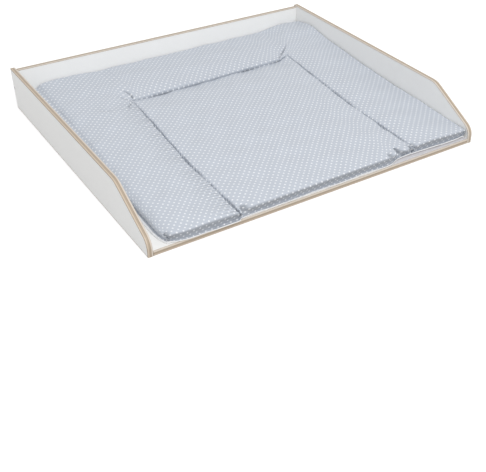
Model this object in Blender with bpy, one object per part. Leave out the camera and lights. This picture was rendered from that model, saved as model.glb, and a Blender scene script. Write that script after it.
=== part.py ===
"""Changing top for a chest of drawers: a three-sided board tray with a padded changing mat lying in it.

The tray's white boards carry ply-look edge bands and are held by fluted dowels and two screws.
The mat is two sheets joined in a flat hem, filled with four pieces of wadding parted by sewn seams.
X points right, Y to the back and Z up, in metres. The origin is the middle of the underside.
"""

import math

import bmesh
import bpy
import numpy as np

# Tray, overall
TRAY_WIDTH = 0.870
TRAY_DEPTH = 0.760
TRAY_HEIGHT = 0.108
SIDE_BOARD = 0.012
BASE_BOARD = 0.012
BACK_BOARD = 0.012
BACK_DROP = 0.004
SEAT_GAP = 0.0003
CUT_OVERRUN = 0.003

# Profile of the sides: level top, bend, slope, round toe, upright front end
BEND_SETBACK = 0.139
TOE_HEIGHT = 0.036
BEND_RADIUS = 0.055
TOE_RADIUS = 0.032
BEND_STEPS = 7
TOE_STEPS = 9

# Edge bands
BAND_THICKNESS = 0.002
BAND_ROUND = 0.0015
BAND_ROUND_STEPS = 3

# Dowels
DOWEL_DIAMETER = 0.006
DOWEL_LENGTH = 0.030
DOWEL_CHAMFER = 0.0008
DOWEL_FLUTE = 0.0003
DOWEL_FLUTES = 8
DOWEL_HOLE_ROOM = 0.0003
DOWEL_END_ROOM = 0.0005
DOWEL_SEAT_share = 0.64
SIDE_DOWEL_WORDS = ("front", "front_middle", "rear_middle", "rear")
SIDE_DOWEL_shares = (0.08, 0.36, 0.64, 0.92)
BACK_END_DOWEL_WORDS = ("lower", "upper")
BACK_END_DOWEL_shares = (0.2, 0.8)
BACK_FOOT_DOWEL_WORDS = ("left", "middle", "right")
BACK_FOOT_DOWEL_shares = (0.14, 0.5, 0.86)
HOLE_STEPS = 16

# Countersunk screws through the sides into the ends of the back
SCREW_LENGTH = 0.040
SCREW_SHANK = 0.0040
SCREW_HEAD = 0.0084
SCREW_HEAD_EDGE = 0.0005
SCREW_HEAD_CONE = 0.0024
SCREW_TIP = 0.005
SCREW_TIP_END = 0.0006
SCREW_SUNK = 0.0004
SCREW_HOLE_ROOM = 0.0003
SCREW_PLACE_share = 0.5
RECESS_WIDTH = 0.0011
RECESS_SPAN_share = 0.56
RECESS_DEPTH_share = 0.75
SCREW_STEPS = 20

# Mat
MAT_RIGHT_ROOM = 0.0015
MAT_LEFT_ROOM = 0.0285
MAT_REAR_ROOM = 0.001
MAT_FRONT_ROOM = 0.002
SHEET = 0.0008
HEM = 0.007
TUCKED_HEM = 0.002
LEFT_BORDER = 0.170
RIGHT_BORDER = 0.165
REAR_BORDER = 0.190
FRONT_SKEW = 0.012
REAR_SEAM_SKEW = 0.026
SEAM_LEAN = 0.022
SEAM_LEAN_RUN = 0.330
FRONT_THICKNESS = 0.021
REAR_THICKNESS = 0.041
EDGE_ROUND = 0.015
BORDER_CROWN = 0.008
CENTRE_CROWN = 0.005
WALL_RISE = 0.012
SEAM_DEPTH_share = 0.24
SEAM_HALF_WIDTH = 0.010
SIDE_DRAW = 0.003
CORNER_DRAW = 0.009
EDGE_REACH = 0.060
WADDING_ROOM = 0.001
EDGE_TURN_shares = (0.0, 1 / 3, 2 / 3, 1.0)
BORDER_shares = (0.25, 0.5, 0.75)
CENTRE_shares = (0.14, 0.3, 0.5, 0.7, 0.86)
LENGTH_shares = (0.12, 0.3, 0.5, 0.7, 0.88)

# Finishes: colour, roughness, metallic
WHITE_BOARD = ((0.80, 0.80, 0.79), 0.42, 0.0)
PLY_LOOK = ((0.60, 0.47, 0.33), 0.5, 0.0)
BEECH = ((0.62, 0.42, 0.24), 0.65, 0.0)
ZINC = ((0.42, 0.42, 0.43), 0.35, 1.0)
PRINTED_SHEET = ((0.55, 0.60, 0.67), 0.4, 0.0)
PLAIN_SHEET = ((0.82, 0.82, 0.83), 0.45, 0.0)
POLYESTER = ((0.86, 0.86, 0.85), 0.95, 0.0)

# Planes that several pieces share
HALF_WIDTH = TRAY_WIDTH / 2
HALF_DEPTH = TRAY_DEPTH / 2
INNER_SIDE = HALF_WIDTH - SIDE_BOARD
INNER_BACK = HALF_DEPTH - BACK_BOARD
BACK_MIDDLE = HALF_DEPTH - BACK_BOARD / 2
BACK_TOP = TRAY_HEIGHT - BACK_DROP
CORE_INSET = BAND_THICKNESS + SEAT_GAP
BACK_FOOT = BASE_BOARD + SEAT_GAP
BACK_CORE_TOP = BACK_TOP - CORE_INSET


def finished(obj, finish):
    """Gives the object a material of its own in this finish."""
    colour, roughness, metallic = finish
    material = bpy.data.materials.new(obj.name)
    material.use_nodes = True
    shader = material.node_tree.nodes["Principled BSDF"]
    shader.inputs["Base Color"].default_value = (*colour, 1.0)
    shader.inputs["Roughness"].default_value = roughness
    shader.inputs["Metallic"].default_value = metallic
    obj.data.materials.append(material)
    return obj


def new_object(name, points, faces):
    """A mesh object from points and faces, with its faces turned outwards."""
    mesh = bpy.data.meshes.new(name)
    mesh.from_pydata([tuple(float(value) for value in point) for point in points], [], faces)
    shape = bmesh.new()
    shape.from_mesh(mesh)
    bmesh.ops.recalc_face_normals(shape, faces=shape.faces)
    shape.to_mesh(mesh)
    shape.free()
    obj = bpy.data.objects.new(name, mesh)
    bpy.context.scene.collection.objects.link(obj)
    return obj


def lofted(name, rings):
    """A closed solid through rings of equal length, with a flat cap on the first and the last."""
    count = len(rings[0])
    points = np.concatenate(rings)
    faces = [tuple(range(count)), tuple(range((len(rings) - 1) * count, len(rings) * count))]
    for ring in range(len(rings) - 1):
        low, high = ring * count, (ring + 1) * count
        for step in range(count):
            turn = (step + 1) % count
            faces.append((low + step, low + turn, high + turn, high + step))
    return new_object(name, points, faces)


def box(name, low, high):
    """A block between two opposite corners."""
    corners = [(low[0], low[1]), (high[0], low[1]), (high[0], high[1]), (low[0], high[1])]
    return lofted(name, [np.array([(x, y, z) for x, y in corners]) for z in (low[2], high[2])])


def turned(name, start, direction, profile, sides, flute=0.0):
    """A solid of revolution: profile lists (distance along the axis, radius). Every other line may be fluted."""
    axis = np.array(direction, float)
    across = np.cross(axis, (0.0, 0.0, 1.0) if abs(axis[2]) < abs(axis[0]) + abs(axis[1]) else (1.0, 0.0, 0.0))
    across /= np.linalg.norm(across)
    upright = np.cross(axis, across)
    angles = np.arange(sides) * (math.tau / sides)
    sunk = flute * (np.arange(sides) % 2)
    rings = []
    for along, radius in profile:
        reach = (radius - sunk)[:, None]
        ring = reach * (np.cos(angles)[:, None] * across + np.sin(angles)[:, None] * upright)
        rings.append(np.array(start) + along * axis + ring)
    return lofted(name, rings)


def cut(obj, cutters):
    """Cuts the closed helper meshes out of the object. The helpers are joined and left out of the model."""
    shape = bmesh.new()
    for cutter in cutters:
        shape.from_mesh(cutter.data)
        bpy.data.objects.remove(cutter)
    mesh = bpy.data.meshes.new(obj.name + "_cuts")
    shape.to_mesh(mesh)
    shape.free()
    helper = bpy.data.objects.new(mesh.name, mesh)
    helper.hide_render = True
    helper.display_type = "WIRE"
    bpy.context.scene.collection.objects.link(helper)
    modifier = obj.modifiers.new("cuts", "BOOLEAN")
    modifier.operation = "DIFFERENCE"
    modifier.solver = "EXACT"
    modifier.object = helper
    return obj


def crossing(point, along, other, other_along):
    """Where two lines of the profile's plane meet."""
    gap = other - point
    span = gap[0] * other_along[1] - gap[1] * other_along[0]
    return point + along * span / (along[0] * other_along[1] - along[1] * other_along[0])


def rounded_corner(before, corner, after, radius, steps):
    """Points of the arc that rounds a corner of the profile, from the side of before to the side of after."""
    back = (before - corner) / np.linalg.norm(before - corner)
    ahead = (after - corner) / np.linalg.norm(after - corner)
    half_angle = math.acos(float(back @ ahead)) / 2
    bisector = (back + ahead) / np.linalg.norm(back + ahead)
    centre = corner + bisector * radius / math.sin(half_angle)
    start = corner + back * radius / math.tan(half_angle) - centre
    sweep = math.pi - 2 * half_angle
    turn = math.copysign(1.0, float(start[0] * ahead[1] - start[1] * ahead[0]))
    arc = []
    for angle in np.linspace(0.0, sweep * turn, steps):
        cosine, sine = math.cos(angle), math.sin(angle)
        arc.append(centre + (start[0] * cosine - start[1] * sine, start[0] * sine + start[1] * cosine))
    return arc


def side_line(inset, foot):
    """(y, z) points of a side's upper edge, lying inset within it: from the rear top, forward and down to foot."""
    slope = np.array((-BEND_SETBACK, TOE_HEIGHT - TRAY_HEIGHT))
    slope /= np.linalg.norm(slope)
    inward = np.array((-slope[1], slope[0]))
    level, upright = np.array((-1.0, 0.0)), np.array((0.0, -1.0))
    rear = np.array((HALF_DEPTH, TRAY_HEIGHT - inset))
    on_slope = np.array((-HALF_DEPTH, TOE_HEIGHT)) + inward * inset
    front = np.array((inset - HALF_DEPTH, foot))
    bend = crossing(rear, level, on_slope, slope)
    toe = crossing(on_slope, slope, front, upright)
    line = [rear]
    line += rounded_corner(rear, bend, toe, BEND_RADIUS - inset, BEND_STEPS)
    line += rounded_corner(bend, toe, front, TOE_RADIUS - inset, TOE_STEPS)
    return np.array(line + [front])


def edge_band(name, run, width):
    """A band with rounded outer edges. run(inset, across) gives its line that far in and that far across."""
    section = [(0.0, BAND_THICKNESS)]
    for side, centre in ((0, BAND_ROUND), (1, width - BAND_ROUND)):
        for angle in np.linspace(0.0, math.pi / 2, BAND_ROUND_STEPS) + side * math.pi / 2:
            across = centre - BAND_ROUND * math.cos(angle)
            section.append((across, BAND_ROUND * (1 - math.sin(angle))))
    section.append((width, BAND_THICKNESS))
    lines = [run(inset, across) for across, inset in section]
    return finished(lofted(name, list(np.stack(lines, axis=1))), PLY_LOOK)


def dowel_profile():
    """(distance, radius) of a dowel with chamfered ends."""
    radius = DOWEL_DIAMETER / 2
    return [
        (0.0, radius - DOWEL_CHAMFER),
        (DOWEL_CHAMFER, radius),
        (DOWEL_LENGTH - DOWEL_CHAMFER, radius),
        (DOWEL_LENGTH, radius - DOWEL_CHAMFER),
    ]


def dowel(name, joint, direction, seat_board):
    """A fluted dowel across a joint: seated in seat_board behind the joint, the rest of it ahead."""
    start = np.array(joint) - np.array(direction, float) * seat_board * DOWEL_SEAT_share
    finished(turned(name, start, direction, dowel_profile(), 2 * DOWEL_FLUTES, DOWEL_FLUTE), BEECH)


def dowel_hole(joint, direction, seat_board):
    """A cutter for both halves of a dowel's hole, longer than the dowel at each end."""
    start = np.array(joint) - np.array(direction, float) * (seat_board * DOWEL_SEAT_share + DOWEL_END_ROOM)
    radius = DOWEL_DIAMETER / 2 + DOWEL_HOLE_ROOM
    length = DOWEL_LENGTH + 2 * DOWEL_END_ROOM
    return turned("dowel_hole", start, direction, [(0.0, radius), (length, radius)], HOLE_STEPS)


def side_dowel_places(hand):
    """Name, joint and direction of each dowel that enters the side on this hand (-1 left, 1 right)."""
    places = {}
    for word, share in zip(SIDE_DOWEL_WORDS, SIDE_DOWEL_shares):
        y = CORE_INSET - HALF_DEPTH + share * (TRAY_DEPTH - CORE_INSET)
        places[f"base_dowel_{word}"] = (y, BASE_BOARD / 2)
    for word, share in zip(BACK_END_DOWEL_WORDS, BACK_END_DOWEL_shares):
        places[f"back_dowel_{word}"] = (BACK_MIDDLE, BACK_FOOT + share * (BACK_CORE_TOP - BACK_FOOT))
    side = "left" if hand < 0 else "right"
    return {
        f"{side}_{name}": ((hand * INNER_SIDE, y, z), (-hand, 0.0, 0.0)) for name, (y, z) in places.items()
    }


def back_dowel_places():
    """Name, joint and direction of each upright dowel between base and back."""
    return {
        f"back_foot_dowel_{word}": (((2 * share - 1) * INNER_SIDE, BACK_MIDDLE, BASE_BOARD), (0.0, 0.0, 1.0))
        for word, share in zip(BACK_FOOT_DOWEL_WORDS, BACK_FOOT_DOWEL_shares)
    }


def screw_start(hand):
    """Centre of a screw's head, sunk a little below the side's outer face."""
    height = BACK_FOOT + SCREW_PLACE_share * (BACK_CORE_TOP - BACK_FOOT)
    return np.array((hand * (HALF_WIDTH - SCREW_SUNK), BACK_MIDDLE, height))


def screw_hole(hand):
    """Countersunk cutter for a screw, open at the side's outer face."""
    head, shank = SCREW_HEAD / 2 + SCREW_HOLE_ROOM, SCREW_SHANK / 2 + SCREW_HOLE_ROOM
    neck = SCREW_HEAD_EDGE + SCREW_HEAD_CONE
    profile = [
        (-SCREW_SUNK - CUT_OVERRUN, head),
        (SCREW_HEAD_EDGE, head),
        (neck, shank),
        (SCREW_LENGTH + DOWEL_END_ROOM, shank),
    ]
    return turned("screw_hole", screw_start(hand), (-hand, 0.0, 0.0), profile, SCREW_STEPS)


def make_screw(name, hand):
    """A countersunk screw with a cross recess in its head."""
    head, shank = SCREW_HEAD / 2, SCREW_SHANK / 2
    neck = SCREW_HEAD_EDGE + SCREW_HEAD_CONE
    profile = [
        (0.0, head),
        (SCREW_HEAD_EDGE, head),
        (neck, shank),
        (SCREW_LENGTH - SCREW_TIP, shank),
        (SCREW_LENGTH, SCREW_TIP_END),
    ]
    start = screw_start(hand)
    screw = finished(turned(name, start, (-hand, 0.0, 0.0), profile, SCREW_STEPS), ZINC)
    half_span, half_width = RECESS_SPAN_share * head, RECESS_WIDTH / 2
    outer = start[0] + hand * CUT_OVERRUN
    inner = start[0] - hand * RECESS_DEPTH_share * neck
    arms = []
    for reach_y, reach_z in ((half_span, half_width), (half_width, half_span)):
        low = (min(inner, outer), start[1] - reach_y, start[2] - reach_z)
        high = (max(inner, outer), start[1] + reach_y, start[2] + reach_z)
        arms.append(box("recess_arm", low, high))
    cross = cut(arms[0], [arms[1]])
    cross.modifiers["cuts"].operation = "UNION"
    bpy.context.view_layer.update()
    whole = bpy.data.meshes.new_from_object(cross.evaluated_get(bpy.context.evaluated_depsgraph_get()))
    bpy.data.objects.remove(cross.modifiers["cuts"].object)
    cross.modifiers.clear()
    cross.data = whole
    return cut(screw, [cross])


def make_side(hand):
    """One side board with its holes, and its two edge bands."""
    side = "left" if hand < 0 else "right"
    line = side_line(CORE_INSET, CORE_INSET)
    outline = np.vstack([line, (HALF_DEPTH, CORE_INSET)])
    rings = [np.insert(outline, 0, hand * x, axis=1) for x in (INNER_SIDE, HALF_WIDTH)]
    board = finished(lofted(f"{side}_side_panel", rings), WHITE_BOARD)
    holes = [dowel_hole(joint, way, SIDE_BOARD) for joint, way in side_dowel_places(hand).values()]
    cut(board, holes + [screw_hole(hand)])

    def upper_run(inset, across):
        return np.insert(side_line(inset, 0.0), 0, hand * (INNER_SIDE + across), axis=1)

    def lower_run(inset, across):
        x = hand * (INNER_SIDE + across)
        return np.array([(x, CORE_INSET - HALF_DEPTH, inset), (x, HALF_DEPTH, inset)])

    edge_band(f"{side}_side_edge_band", upper_run, SIDE_BOARD)
    edge_band(f"{side}_foot_edge_band", lower_run, SIDE_BOARD)


def make_base():
    """The base board between the sides, with the band on its front edge."""
    reach = INNER_SIDE - SEAT_GAP
    base = finished(
        box("base_board", (-reach, CORE_INSET - HALF_DEPTH, 0.0), (reach, HALF_DEPTH, BASE_BOARD)), WHITE_BOARD
    )
    holes = []
    for hand in (-1, 1):
        places = side_dowel_places(hand)
        holes += [dowel_hole(*places[name], SIDE_BOARD) for name in places if "base" in name]
    holes += [dowel_hole(joint, way, BASE_BOARD) for joint, way in back_dowel_places().values()]
    cut(base, holes)

    def front_run(inset, across):
        return np.array([(x, inset - HALF_DEPTH, across) for x in (-reach, reach)])

    edge_band("base_front_edge_band", front_run, BASE_BOARD)


def make_back():
    """The back board on the rear of the base, with the band on its upper edge."""
    reach = INNER_SIDE - SEAT_GAP
    back = finished(
        box("back_panel", (-reach, INNER_BACK, BACK_FOOT), (reach, HALF_DEPTH, BACK_CORE_TOP)), WHITE_BOARD
    )
    holes = [screw_hole(hand) for hand in (-1, 1)]
    for hand in (-1, 1):
        places = side_dowel_places(hand)
        holes += [dowel_hole(*places[name], SIDE_BOARD) for name in places if "back" in name]
    holes += [dowel_hole(joint, way, BASE_BOARD) for joint, way in back_dowel_places().values()]
    cut(back, holes)

    def top_run(inset, across):
        return np.array([(x, HALF_DEPTH - across, BACK_TOP - inset) for x in (-reach, reach)])

    edge_band("back_top_edge_band", top_run, BACK_BOARD)


def make_fasteners():
    """The dowels of every joint, and the screw at each end of the back."""
    for hand, side in ((-1, "left"), (1, "right")):
        for name, (joint, way) in side_dowel_places(hand).items():
            dowel(name, joint, way, SIDE_BOARD)
        make_screw(f"{side}_screw", hand)
    for name, (joint, way) in back_dowel_places().items():
        dowel(name, joint, way, BASE_BOARD)


# Mat: its plan and the places of its seams
MAT_LEFT = MAT_LEFT_ROOM - INNER_SIDE
MAT_RIGHT = INNER_SIDE - MAT_RIGHT_ROOM
MAT_FRONT = MAT_FRONT_ROOM - HALF_DEPTH
MAT_REAR = INNER_BACK - MAT_REAR_ROOM
LEFT_SEAM = MAT_LEFT + LEFT_BORDER
RIGHT_SEAM = MAT_RIGHT - RIGHT_BORDER
REAR_SEAM = MAT_REAR - REAR_BORDER
MAT_UNDERSIDE = BASE_BOARD + SEAT_GAP
FILLING_FLOOR = MAT_UNDERSIDE + SHEET + SEAT_GAP


def spread(start, end, shares):
    """Places between start and end at these shares of the way."""
    return [start + share * (end - start) for share in shares]


def edge_places(edge, inward, hem, skin):
    """Places from the mat's edge inwards: the hem, then the turn of its rounded side."""
    turn = (EDGE_ROUND - skin) * (1 - np.cos(np.array(EDGE_TURN_shares) * math.pi / 2))
    return [edge] + [edge + inward * (hem + skin + step) for step in turn]


def mat_columns(skin):
    """x of the mat's grid lines, from left to right, for a surface that lies skin within it."""
    left, right = edge_places(MAT_LEFT, 1, HEM, skin), edge_places(MAT_RIGHT, -1, TUCKED_HEM, skin)[::-1]
    seam = SEAM_HALF_WIDTH
    return np.array(
        left
        + spread(left[-1], LEFT_SEAM - seam, BORDER_shares)
        + [LEFT_SEAM - seam, LEFT_SEAM, LEFT_SEAM + seam]
        + spread(LEFT_SEAM + seam, RIGHT_SEAM - seam, CENTRE_shares)
        + [RIGHT_SEAM - seam, RIGHT_SEAM, RIGHT_SEAM + seam]
        + spread(RIGHT_SEAM + seam, right[0], BORDER_shares)
        + right
    )


def mat_rows(skin):
    """y of the mat's grid lines, from front to rear."""
    front, rear = edge_places(MAT_FRONT, 1, HEM, skin), edge_places(MAT_REAR, -1, TUCKED_HEM, skin)[::-1]
    seam = SEAM_HALF_WIDTH
    return np.array(
        front
        + spread(front[-1], REAR_SEAM - seam, LENGTH_shares)
        + [REAR_SEAM - seam, REAR_SEAM, REAR_SEAM + seam]
        + spread(REAR_SEAM + seam, rear[0], BORDER_shares)
        + rear
    )


# Where the grid's lines of one surface change from one part of the mat to the next
HEM_STEPS = 1
FIRST_FILLED = HEM_STEPS + 1
LEFT_SEAM_LINE = HEM_STEPS + len(EDGE_TURN_shares) + len(BORDER_shares) + 1
RIGHT_SEAM_LINE = LEFT_SEAM_LINE + len(CENTRE_shares) + 3
REAR_SEAM_LINE = HEM_STEPS + len(EDGE_TURN_shares) + len(LENGTH_shares) + 1


def edge_rise(inside, skin):
    """How far the rounded side has risen, from 0 at the hem to 1, at a distance inside the hem."""
    part = np.clip((inside - skin) / (EDGE_ROUND - skin), 0.0, 1.0)
    return np.sqrt(1 - (1 - part) ** 2)


def seam_pull(x, y):
    """How strongly the sewn seams draw the surface down, from 0 to 1 on a seam."""
    ahead = np.maximum(y - REAR_SEAM, 0.0)
    side_seam = np.hypot(np.minimum(abs(x - LEFT_SEAM), abs(x - RIGHT_SEAM)), ahead)
    beside = np.maximum(np.maximum(LEFT_SEAM - x, x - RIGHT_SEAM), 0.0)
    nearest = np.minimum(side_seam, np.hypot(y - REAR_SEAM, beside))
    return np.clip(1 - nearest / SEAM_HALF_WIDTH, 0.0, 1.0)


def bulge(place, low, high):
    """A half wave that is 0 at low and at high, and outside them."""
    return np.sin(math.pi * np.clip((place - low) / (high - low), 0.0, 1.0))


def filling_height(x, y):
    """Height of the mat's top over the filling's floor, away from the rounded edges.

    It is thicker to the rear, crowned between its seams, and pushed up where it meets the right side.
    """
    slant = (y - MAT_FRONT) / (MAT_REAR - MAT_FRONT)
    thickness = FRONT_THICKNESS + (REAR_THICKNESS - FRONT_THICKNESS) * slant
    side = np.maximum(bulge(x, MAT_LEFT, LEFT_SEAM), bulge(x, RIGHT_SEAM, MAT_RIGHT))
    crown = BORDER_CROWN * np.maximum(side, bulge(y, REAR_SEAM, MAT_REAR)) * (slant + 1) / 2
    crown += CENTRE_CROWN * bulge(x, LEFT_SEAM, RIGHT_SEAM) * bulge(y, MAT_FRONT, REAR_SEAM)
    wall_rise = WALL_RISE * slant * np.clip((x - RIGHT_SEAM) / RIGHT_BORDER, 0.0, 1.0)
    return thickness * (1 - SEAM_DEPTH_share * seam_pull(x, y)) + crown + wall_rise


def near_edge(inside):
    """How close a place is to the mat's edge, from 0 at EDGE_REACH inside it to 1 on it."""
    return np.clip(1 - inside / EDGE_REACH, 0.0, 1.0) ** 2


def mat_surface(skin):
    """x, y and z of the grid of a surface skin within the mat, as arrays. Its rim lies on the filling's floor.

    Its sides draw in between the corners, the corners are rounded, and the seams lean to the right at the rear.
    """
    x, y = np.meshgrid(mat_columns(skin), mat_rows(skin), indexing="ij")
    across = 2 * (x - (MAT_LEFT + MAT_RIGHT) / 2) / (MAT_RIGHT - MAT_LEFT)
    along = 2 * (y - (MAT_FRONT + MAT_REAR) / 2) / (MAT_REAR - MAT_FRONT)
    rise_x = edge_rise(np.minimum(x - MAT_LEFT - HEM, MAT_RIGHT - TUCKED_HEM - x), skin)
    rise_y = edge_rise(np.minimum(y - MAT_FRONT - HEM, MAT_REAR - TUCKED_HEM - y), skin)
    z = FILLING_FLOOR + rise_x * rise_y * (filling_height(x, y) - skin)
    near_x = near_edge(np.minimum(x - MAT_LEFT, MAT_RIGHT - x))
    near_y = near_edge(np.minimum(y - MAT_FRONT, MAT_REAR - y))
    draw_x = np.sign(across) * near_x * (SIDE_DRAW * (1 - along**2) + CORNER_DRAW * near_y)
    draw_y = np.sign(along) * near_y * (SIDE_DRAW * (1 - across**2) + CORNER_DRAW * near_x)
    skew = np.interp(y, (MAT_FRONT, REAR_SEAM, MAT_REAR), (FRONT_SKEW, REAR_SEAM_SKEW, 0.0)) * (across + 1) / 2
    lean = SEAM_LEAN * np.clip(1 - (REAR_SEAM - y) / SEAM_LEAN_RUN, 0.0, 1.0)
    lean = lean * np.interp(x, (MAT_LEFT, LEFT_SEAM, RIGHT_SEAM, MAT_RIGHT), (0.0, 1.0, 1.0, 0.0))
    return x - draw_x + lean, y - draw_y + skew, z


def rim_loop(columns, rows):
    """Indices of a grid's outer points in order, counted along its rows first."""
    last_column, last_row = columns - 1, rows - 1
    loop = [column * rows for column in range(columns)]
    loop += [last_column * rows + row for row in range(1, rows)]
    loop += [column * rows + last_row for column in range(last_column - 1, -1, -1)]
    return loop + list(range(last_row - 1, 0, -1))


def between_surfaces(name, upper, lower):
    """A closed solid between two grids of equal size, joined round their rims."""
    columns, rows = upper[0].shape
    count = columns * rows
    points = np.concatenate([np.stack([axis.ravel() for axis in grid], axis=1) for grid in (upper, lower)])
    faces = []
    for column in range(columns - 1):
        for row in range(rows - 1):
            a, b = column * rows + row, (column + 1) * rows + row
            for face in ((a, b, b + 1), (a, b + 1, a + 1)):
                faces += [face, tuple(index + count for index in reversed(face))]
    loop = rim_loop(columns, rows)
    for here, there in zip(loop, loop[1:] + loop[:1]):
        faces.append((here, here + count, there + count, there))
    obj = new_object(name, points, faces)
    obj.data.shade_smooth()
    obj.data.set_sharp_from_angle(angle=math.radians(50))
    return obj


def make_mat():
    """The two sheets, joined in a flat hem, and the four pieces of wadding between them."""
    x, y, z = mat_surface(0.0)
    cover = between_surfaces("mat_top_cover", (x, y, z + SHEET), mat_surface(SHEET))
    finished(cover, PRINTED_SHEET)

    columns, rows = x.shape
    loop = rim_loop(columns, rows)
    outline = np.stack([x.ravel()[loop], y.ravel()[loop]], axis=1)
    rings = [np.insert(outline, 2, height, axis=1) for height in (MAT_UNDERSIDE, MAT_UNDERSIDE + SHEET)]
    finished(lofted("mat_bottom_cover", rings), PLAIN_SHEET)

    x, y, z = mat_surface(SHEET + WADDING_ROOM)
    last_column, last_row = columns - FIRST_FILLED, rows - FIRST_FILLED
    parts = {
        "left_border_wadding": (FIRST_FILLED, LEFT_SEAM_LINE, FIRST_FILLED, REAR_SEAM_LINE),
        "centre_wadding": (LEFT_SEAM_LINE + 1, RIGHT_SEAM_LINE, FIRST_FILLED, REAR_SEAM_LINE),
        "right_border_wadding": (RIGHT_SEAM_LINE + 1, last_column, FIRST_FILLED, REAR_SEAM_LINE),
        "rear_border_wadding": (FIRST_FILLED, last_column, REAR_SEAM_LINE + 1, last_row),
    }
    for name, (left, right, front, rear) in parts.items():
        block = [axis[left:right, front:rear] for axis in (x, y, z)]
        floor = [block[0], block[1], np.full_like(block[2], FILLING_FLOOR)]
        finished(between_surfaces(name, block, floor), POLYESTER)


for leftover in list(bpy.data.objects):
    bpy.data.objects.remove(leftover)
make_base()
make_back()
for hand in (-1, 1):
    make_side(hand)
make_fasteners()
make_mat()
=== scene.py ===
"""Looks of a changing top: a white board tray with ply-look edge bands and a padded mat lying in it.

X points right, Y to the back and Z up, in metres. The origin is the middle of the tray's underside.
"""

import bpy
import numpy as np
from mathutils import Matrix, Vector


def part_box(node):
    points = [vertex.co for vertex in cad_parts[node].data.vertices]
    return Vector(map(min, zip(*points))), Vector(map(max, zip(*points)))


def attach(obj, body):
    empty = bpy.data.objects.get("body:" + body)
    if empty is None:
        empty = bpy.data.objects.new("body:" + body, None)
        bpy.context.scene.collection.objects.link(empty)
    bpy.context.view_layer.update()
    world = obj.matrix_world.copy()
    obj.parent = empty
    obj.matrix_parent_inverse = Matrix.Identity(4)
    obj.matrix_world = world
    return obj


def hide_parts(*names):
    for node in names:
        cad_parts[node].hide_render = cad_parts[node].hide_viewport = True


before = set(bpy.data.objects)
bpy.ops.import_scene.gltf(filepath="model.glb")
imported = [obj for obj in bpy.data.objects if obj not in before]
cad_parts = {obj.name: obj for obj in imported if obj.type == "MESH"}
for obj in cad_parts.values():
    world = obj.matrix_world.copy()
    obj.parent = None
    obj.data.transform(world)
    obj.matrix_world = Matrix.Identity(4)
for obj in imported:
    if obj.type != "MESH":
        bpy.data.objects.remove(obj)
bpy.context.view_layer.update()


# The camera looks down into the tray from in front of its left end, with a normal lens.
# The picture is cropped off the lens's axis, so the camera keeps a small shift.
PHOTO_WIDTH, PHOTO_HEIGHT = 486, 472
FOCAL_LENGTH_PIXELS = 825.603
LENS_AXIS_PIXELS = (293.5345, 238.3483)
SENSOR_WIDTH = 36.0
CAMERA_PLACE = (-0.93515329, -1.59948714, 0.99344035)
CAMERA_RIGHT = (0.82874811, -0.55930837, 0.01872752)
CAMERA_UP = (0.31676017, 0.49641757, 0.80822805)
CAMERA_BACK = (-0.46134538, -0.66388534, 0.58857174)


def stood(name, data, right, up, back, place):
    """A camera or lamp at a place, turned so that its own X, Y and Z lie along right, up and back."""
    placing = np.eye(4)
    placing[:3] = np.stack([right, up, back, place], axis=1)
    made = bpy.data.objects.new(name, data)
    made.matrix_world = Matrix(placing.tolist())
    bpy.context.scene.collection.objects.link(made)
    return made


camera_data = bpy.data.cameras.new("camera")
camera_data.sensor_width = SENSOR_WIDTH
camera_data.lens = FOCAL_LENGTH_PIXELS / PHOTO_WIDTH * SENSOR_WIDTH
camera_data.shift_x = (PHOTO_WIDTH / 2 - LENS_AXIS_PIXELS[0]) / PHOTO_WIDTH
camera_data.shift_y = (LENS_AXIS_PIXELS[1] - PHOTO_HEIGHT / 2) / PHOTO_WIDTH
camera_data.clip_start = 0.01
camera = stood("camera", camera_data, CAMERA_RIGHT, CAMERA_UP, CAMERA_BACK, CAMERA_PLACE)
bpy.context.scene.camera = camera


# The four boards are particle board pressed between two films of satin white melamine.
# The rear ends of the sides and the rear edge of the base are raw saw cuts, where the chips show.
TRAY_HALF_DEPTH = 0.380
TRAY_HALF_WIDTH = 0.435
BOARD = 0.012
MELAMINE_FILM = 0.0003
MELAMINE_WHITE = (0.86, 0.86, 0.85)
MELAMINE_SHADE = (0.835, 0.835, 0.825)
# Painted shadow: STRIP_SHADE darkens the base's top at its front right end, as the mat's lifted hem would
# shade it.
STRIP_SHADE = (0.64, 0.63, 0.65)
STRIP_DEEP = (-0.356, -0.366)
STRIP_LONG = (0.14, 0.21)
CHIP_COLOURS = ((0.0, (0.23, 0.13, 0.06)), (0.5, (0.46, 0.31, 0.17)), (1.0, (0.68, 0.52, 0.33)))
CHIPS_PER_METRE = 520.0
PEARLS_PER_METRE = 1400.0
SHADE_PATCHES_PER_METRE = 7.0
CHIP_RELIEF = 3.0


def new_finish(name, **sockets):
    """A material with one Principled shader. Its plain sockets are set as named, with _ for a space."""
    finish = bpy.data.materials.new(name)
    finish.use_nodes = True
    shader = finish.node_tree.nodes["Principled BSDF"]
    for socket, value in sockets.items():
        shader.inputs[socket.replace("_", " ")].default_value = value
    return finish


def add_node(finish, kind, inputs=(), **settings):
    """A shader node of this kind. inputs lists (place, plain value or the socket to link there)."""
    made = finish.node_tree.nodes.new("ShaderNode" + kind)
    for setting, value in settings.items():
        setattr(made, setting, value)
    for place, value in inputs:
        if isinstance(value, bpy.types.NodeSocket):
            finish.node_tree.links.new(value, made.inputs[place])
        else:
            made.inputs[place].default_value = value
    return made


def add_ramp(finish, factor, stops, interpolation="LINEAR"):
    """The colour that stops, a list of (place, colour), gives for the factor."""
    made = add_node(finish, "ValToRGB", [(0, factor)])
    made.color_ramp.interpolation = interpolation
    elements = made.color_ramp.elements
    for _ in range(len(stops) - len(elements)):
        elements.new(1.0)
    for element, (place, colour) in zip(elements, stops):
        element.position = place
        element.color = (*colour, 1.0)
    return made.outputs["Color"]


def add_math(finish, operation, first, second=0.0, third=0.0):
    """One sum of the Math node."""
    return add_node(finish, "Math", [(0, first), (1, second), (2, third)], operation=operation).outputs[0]


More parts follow.
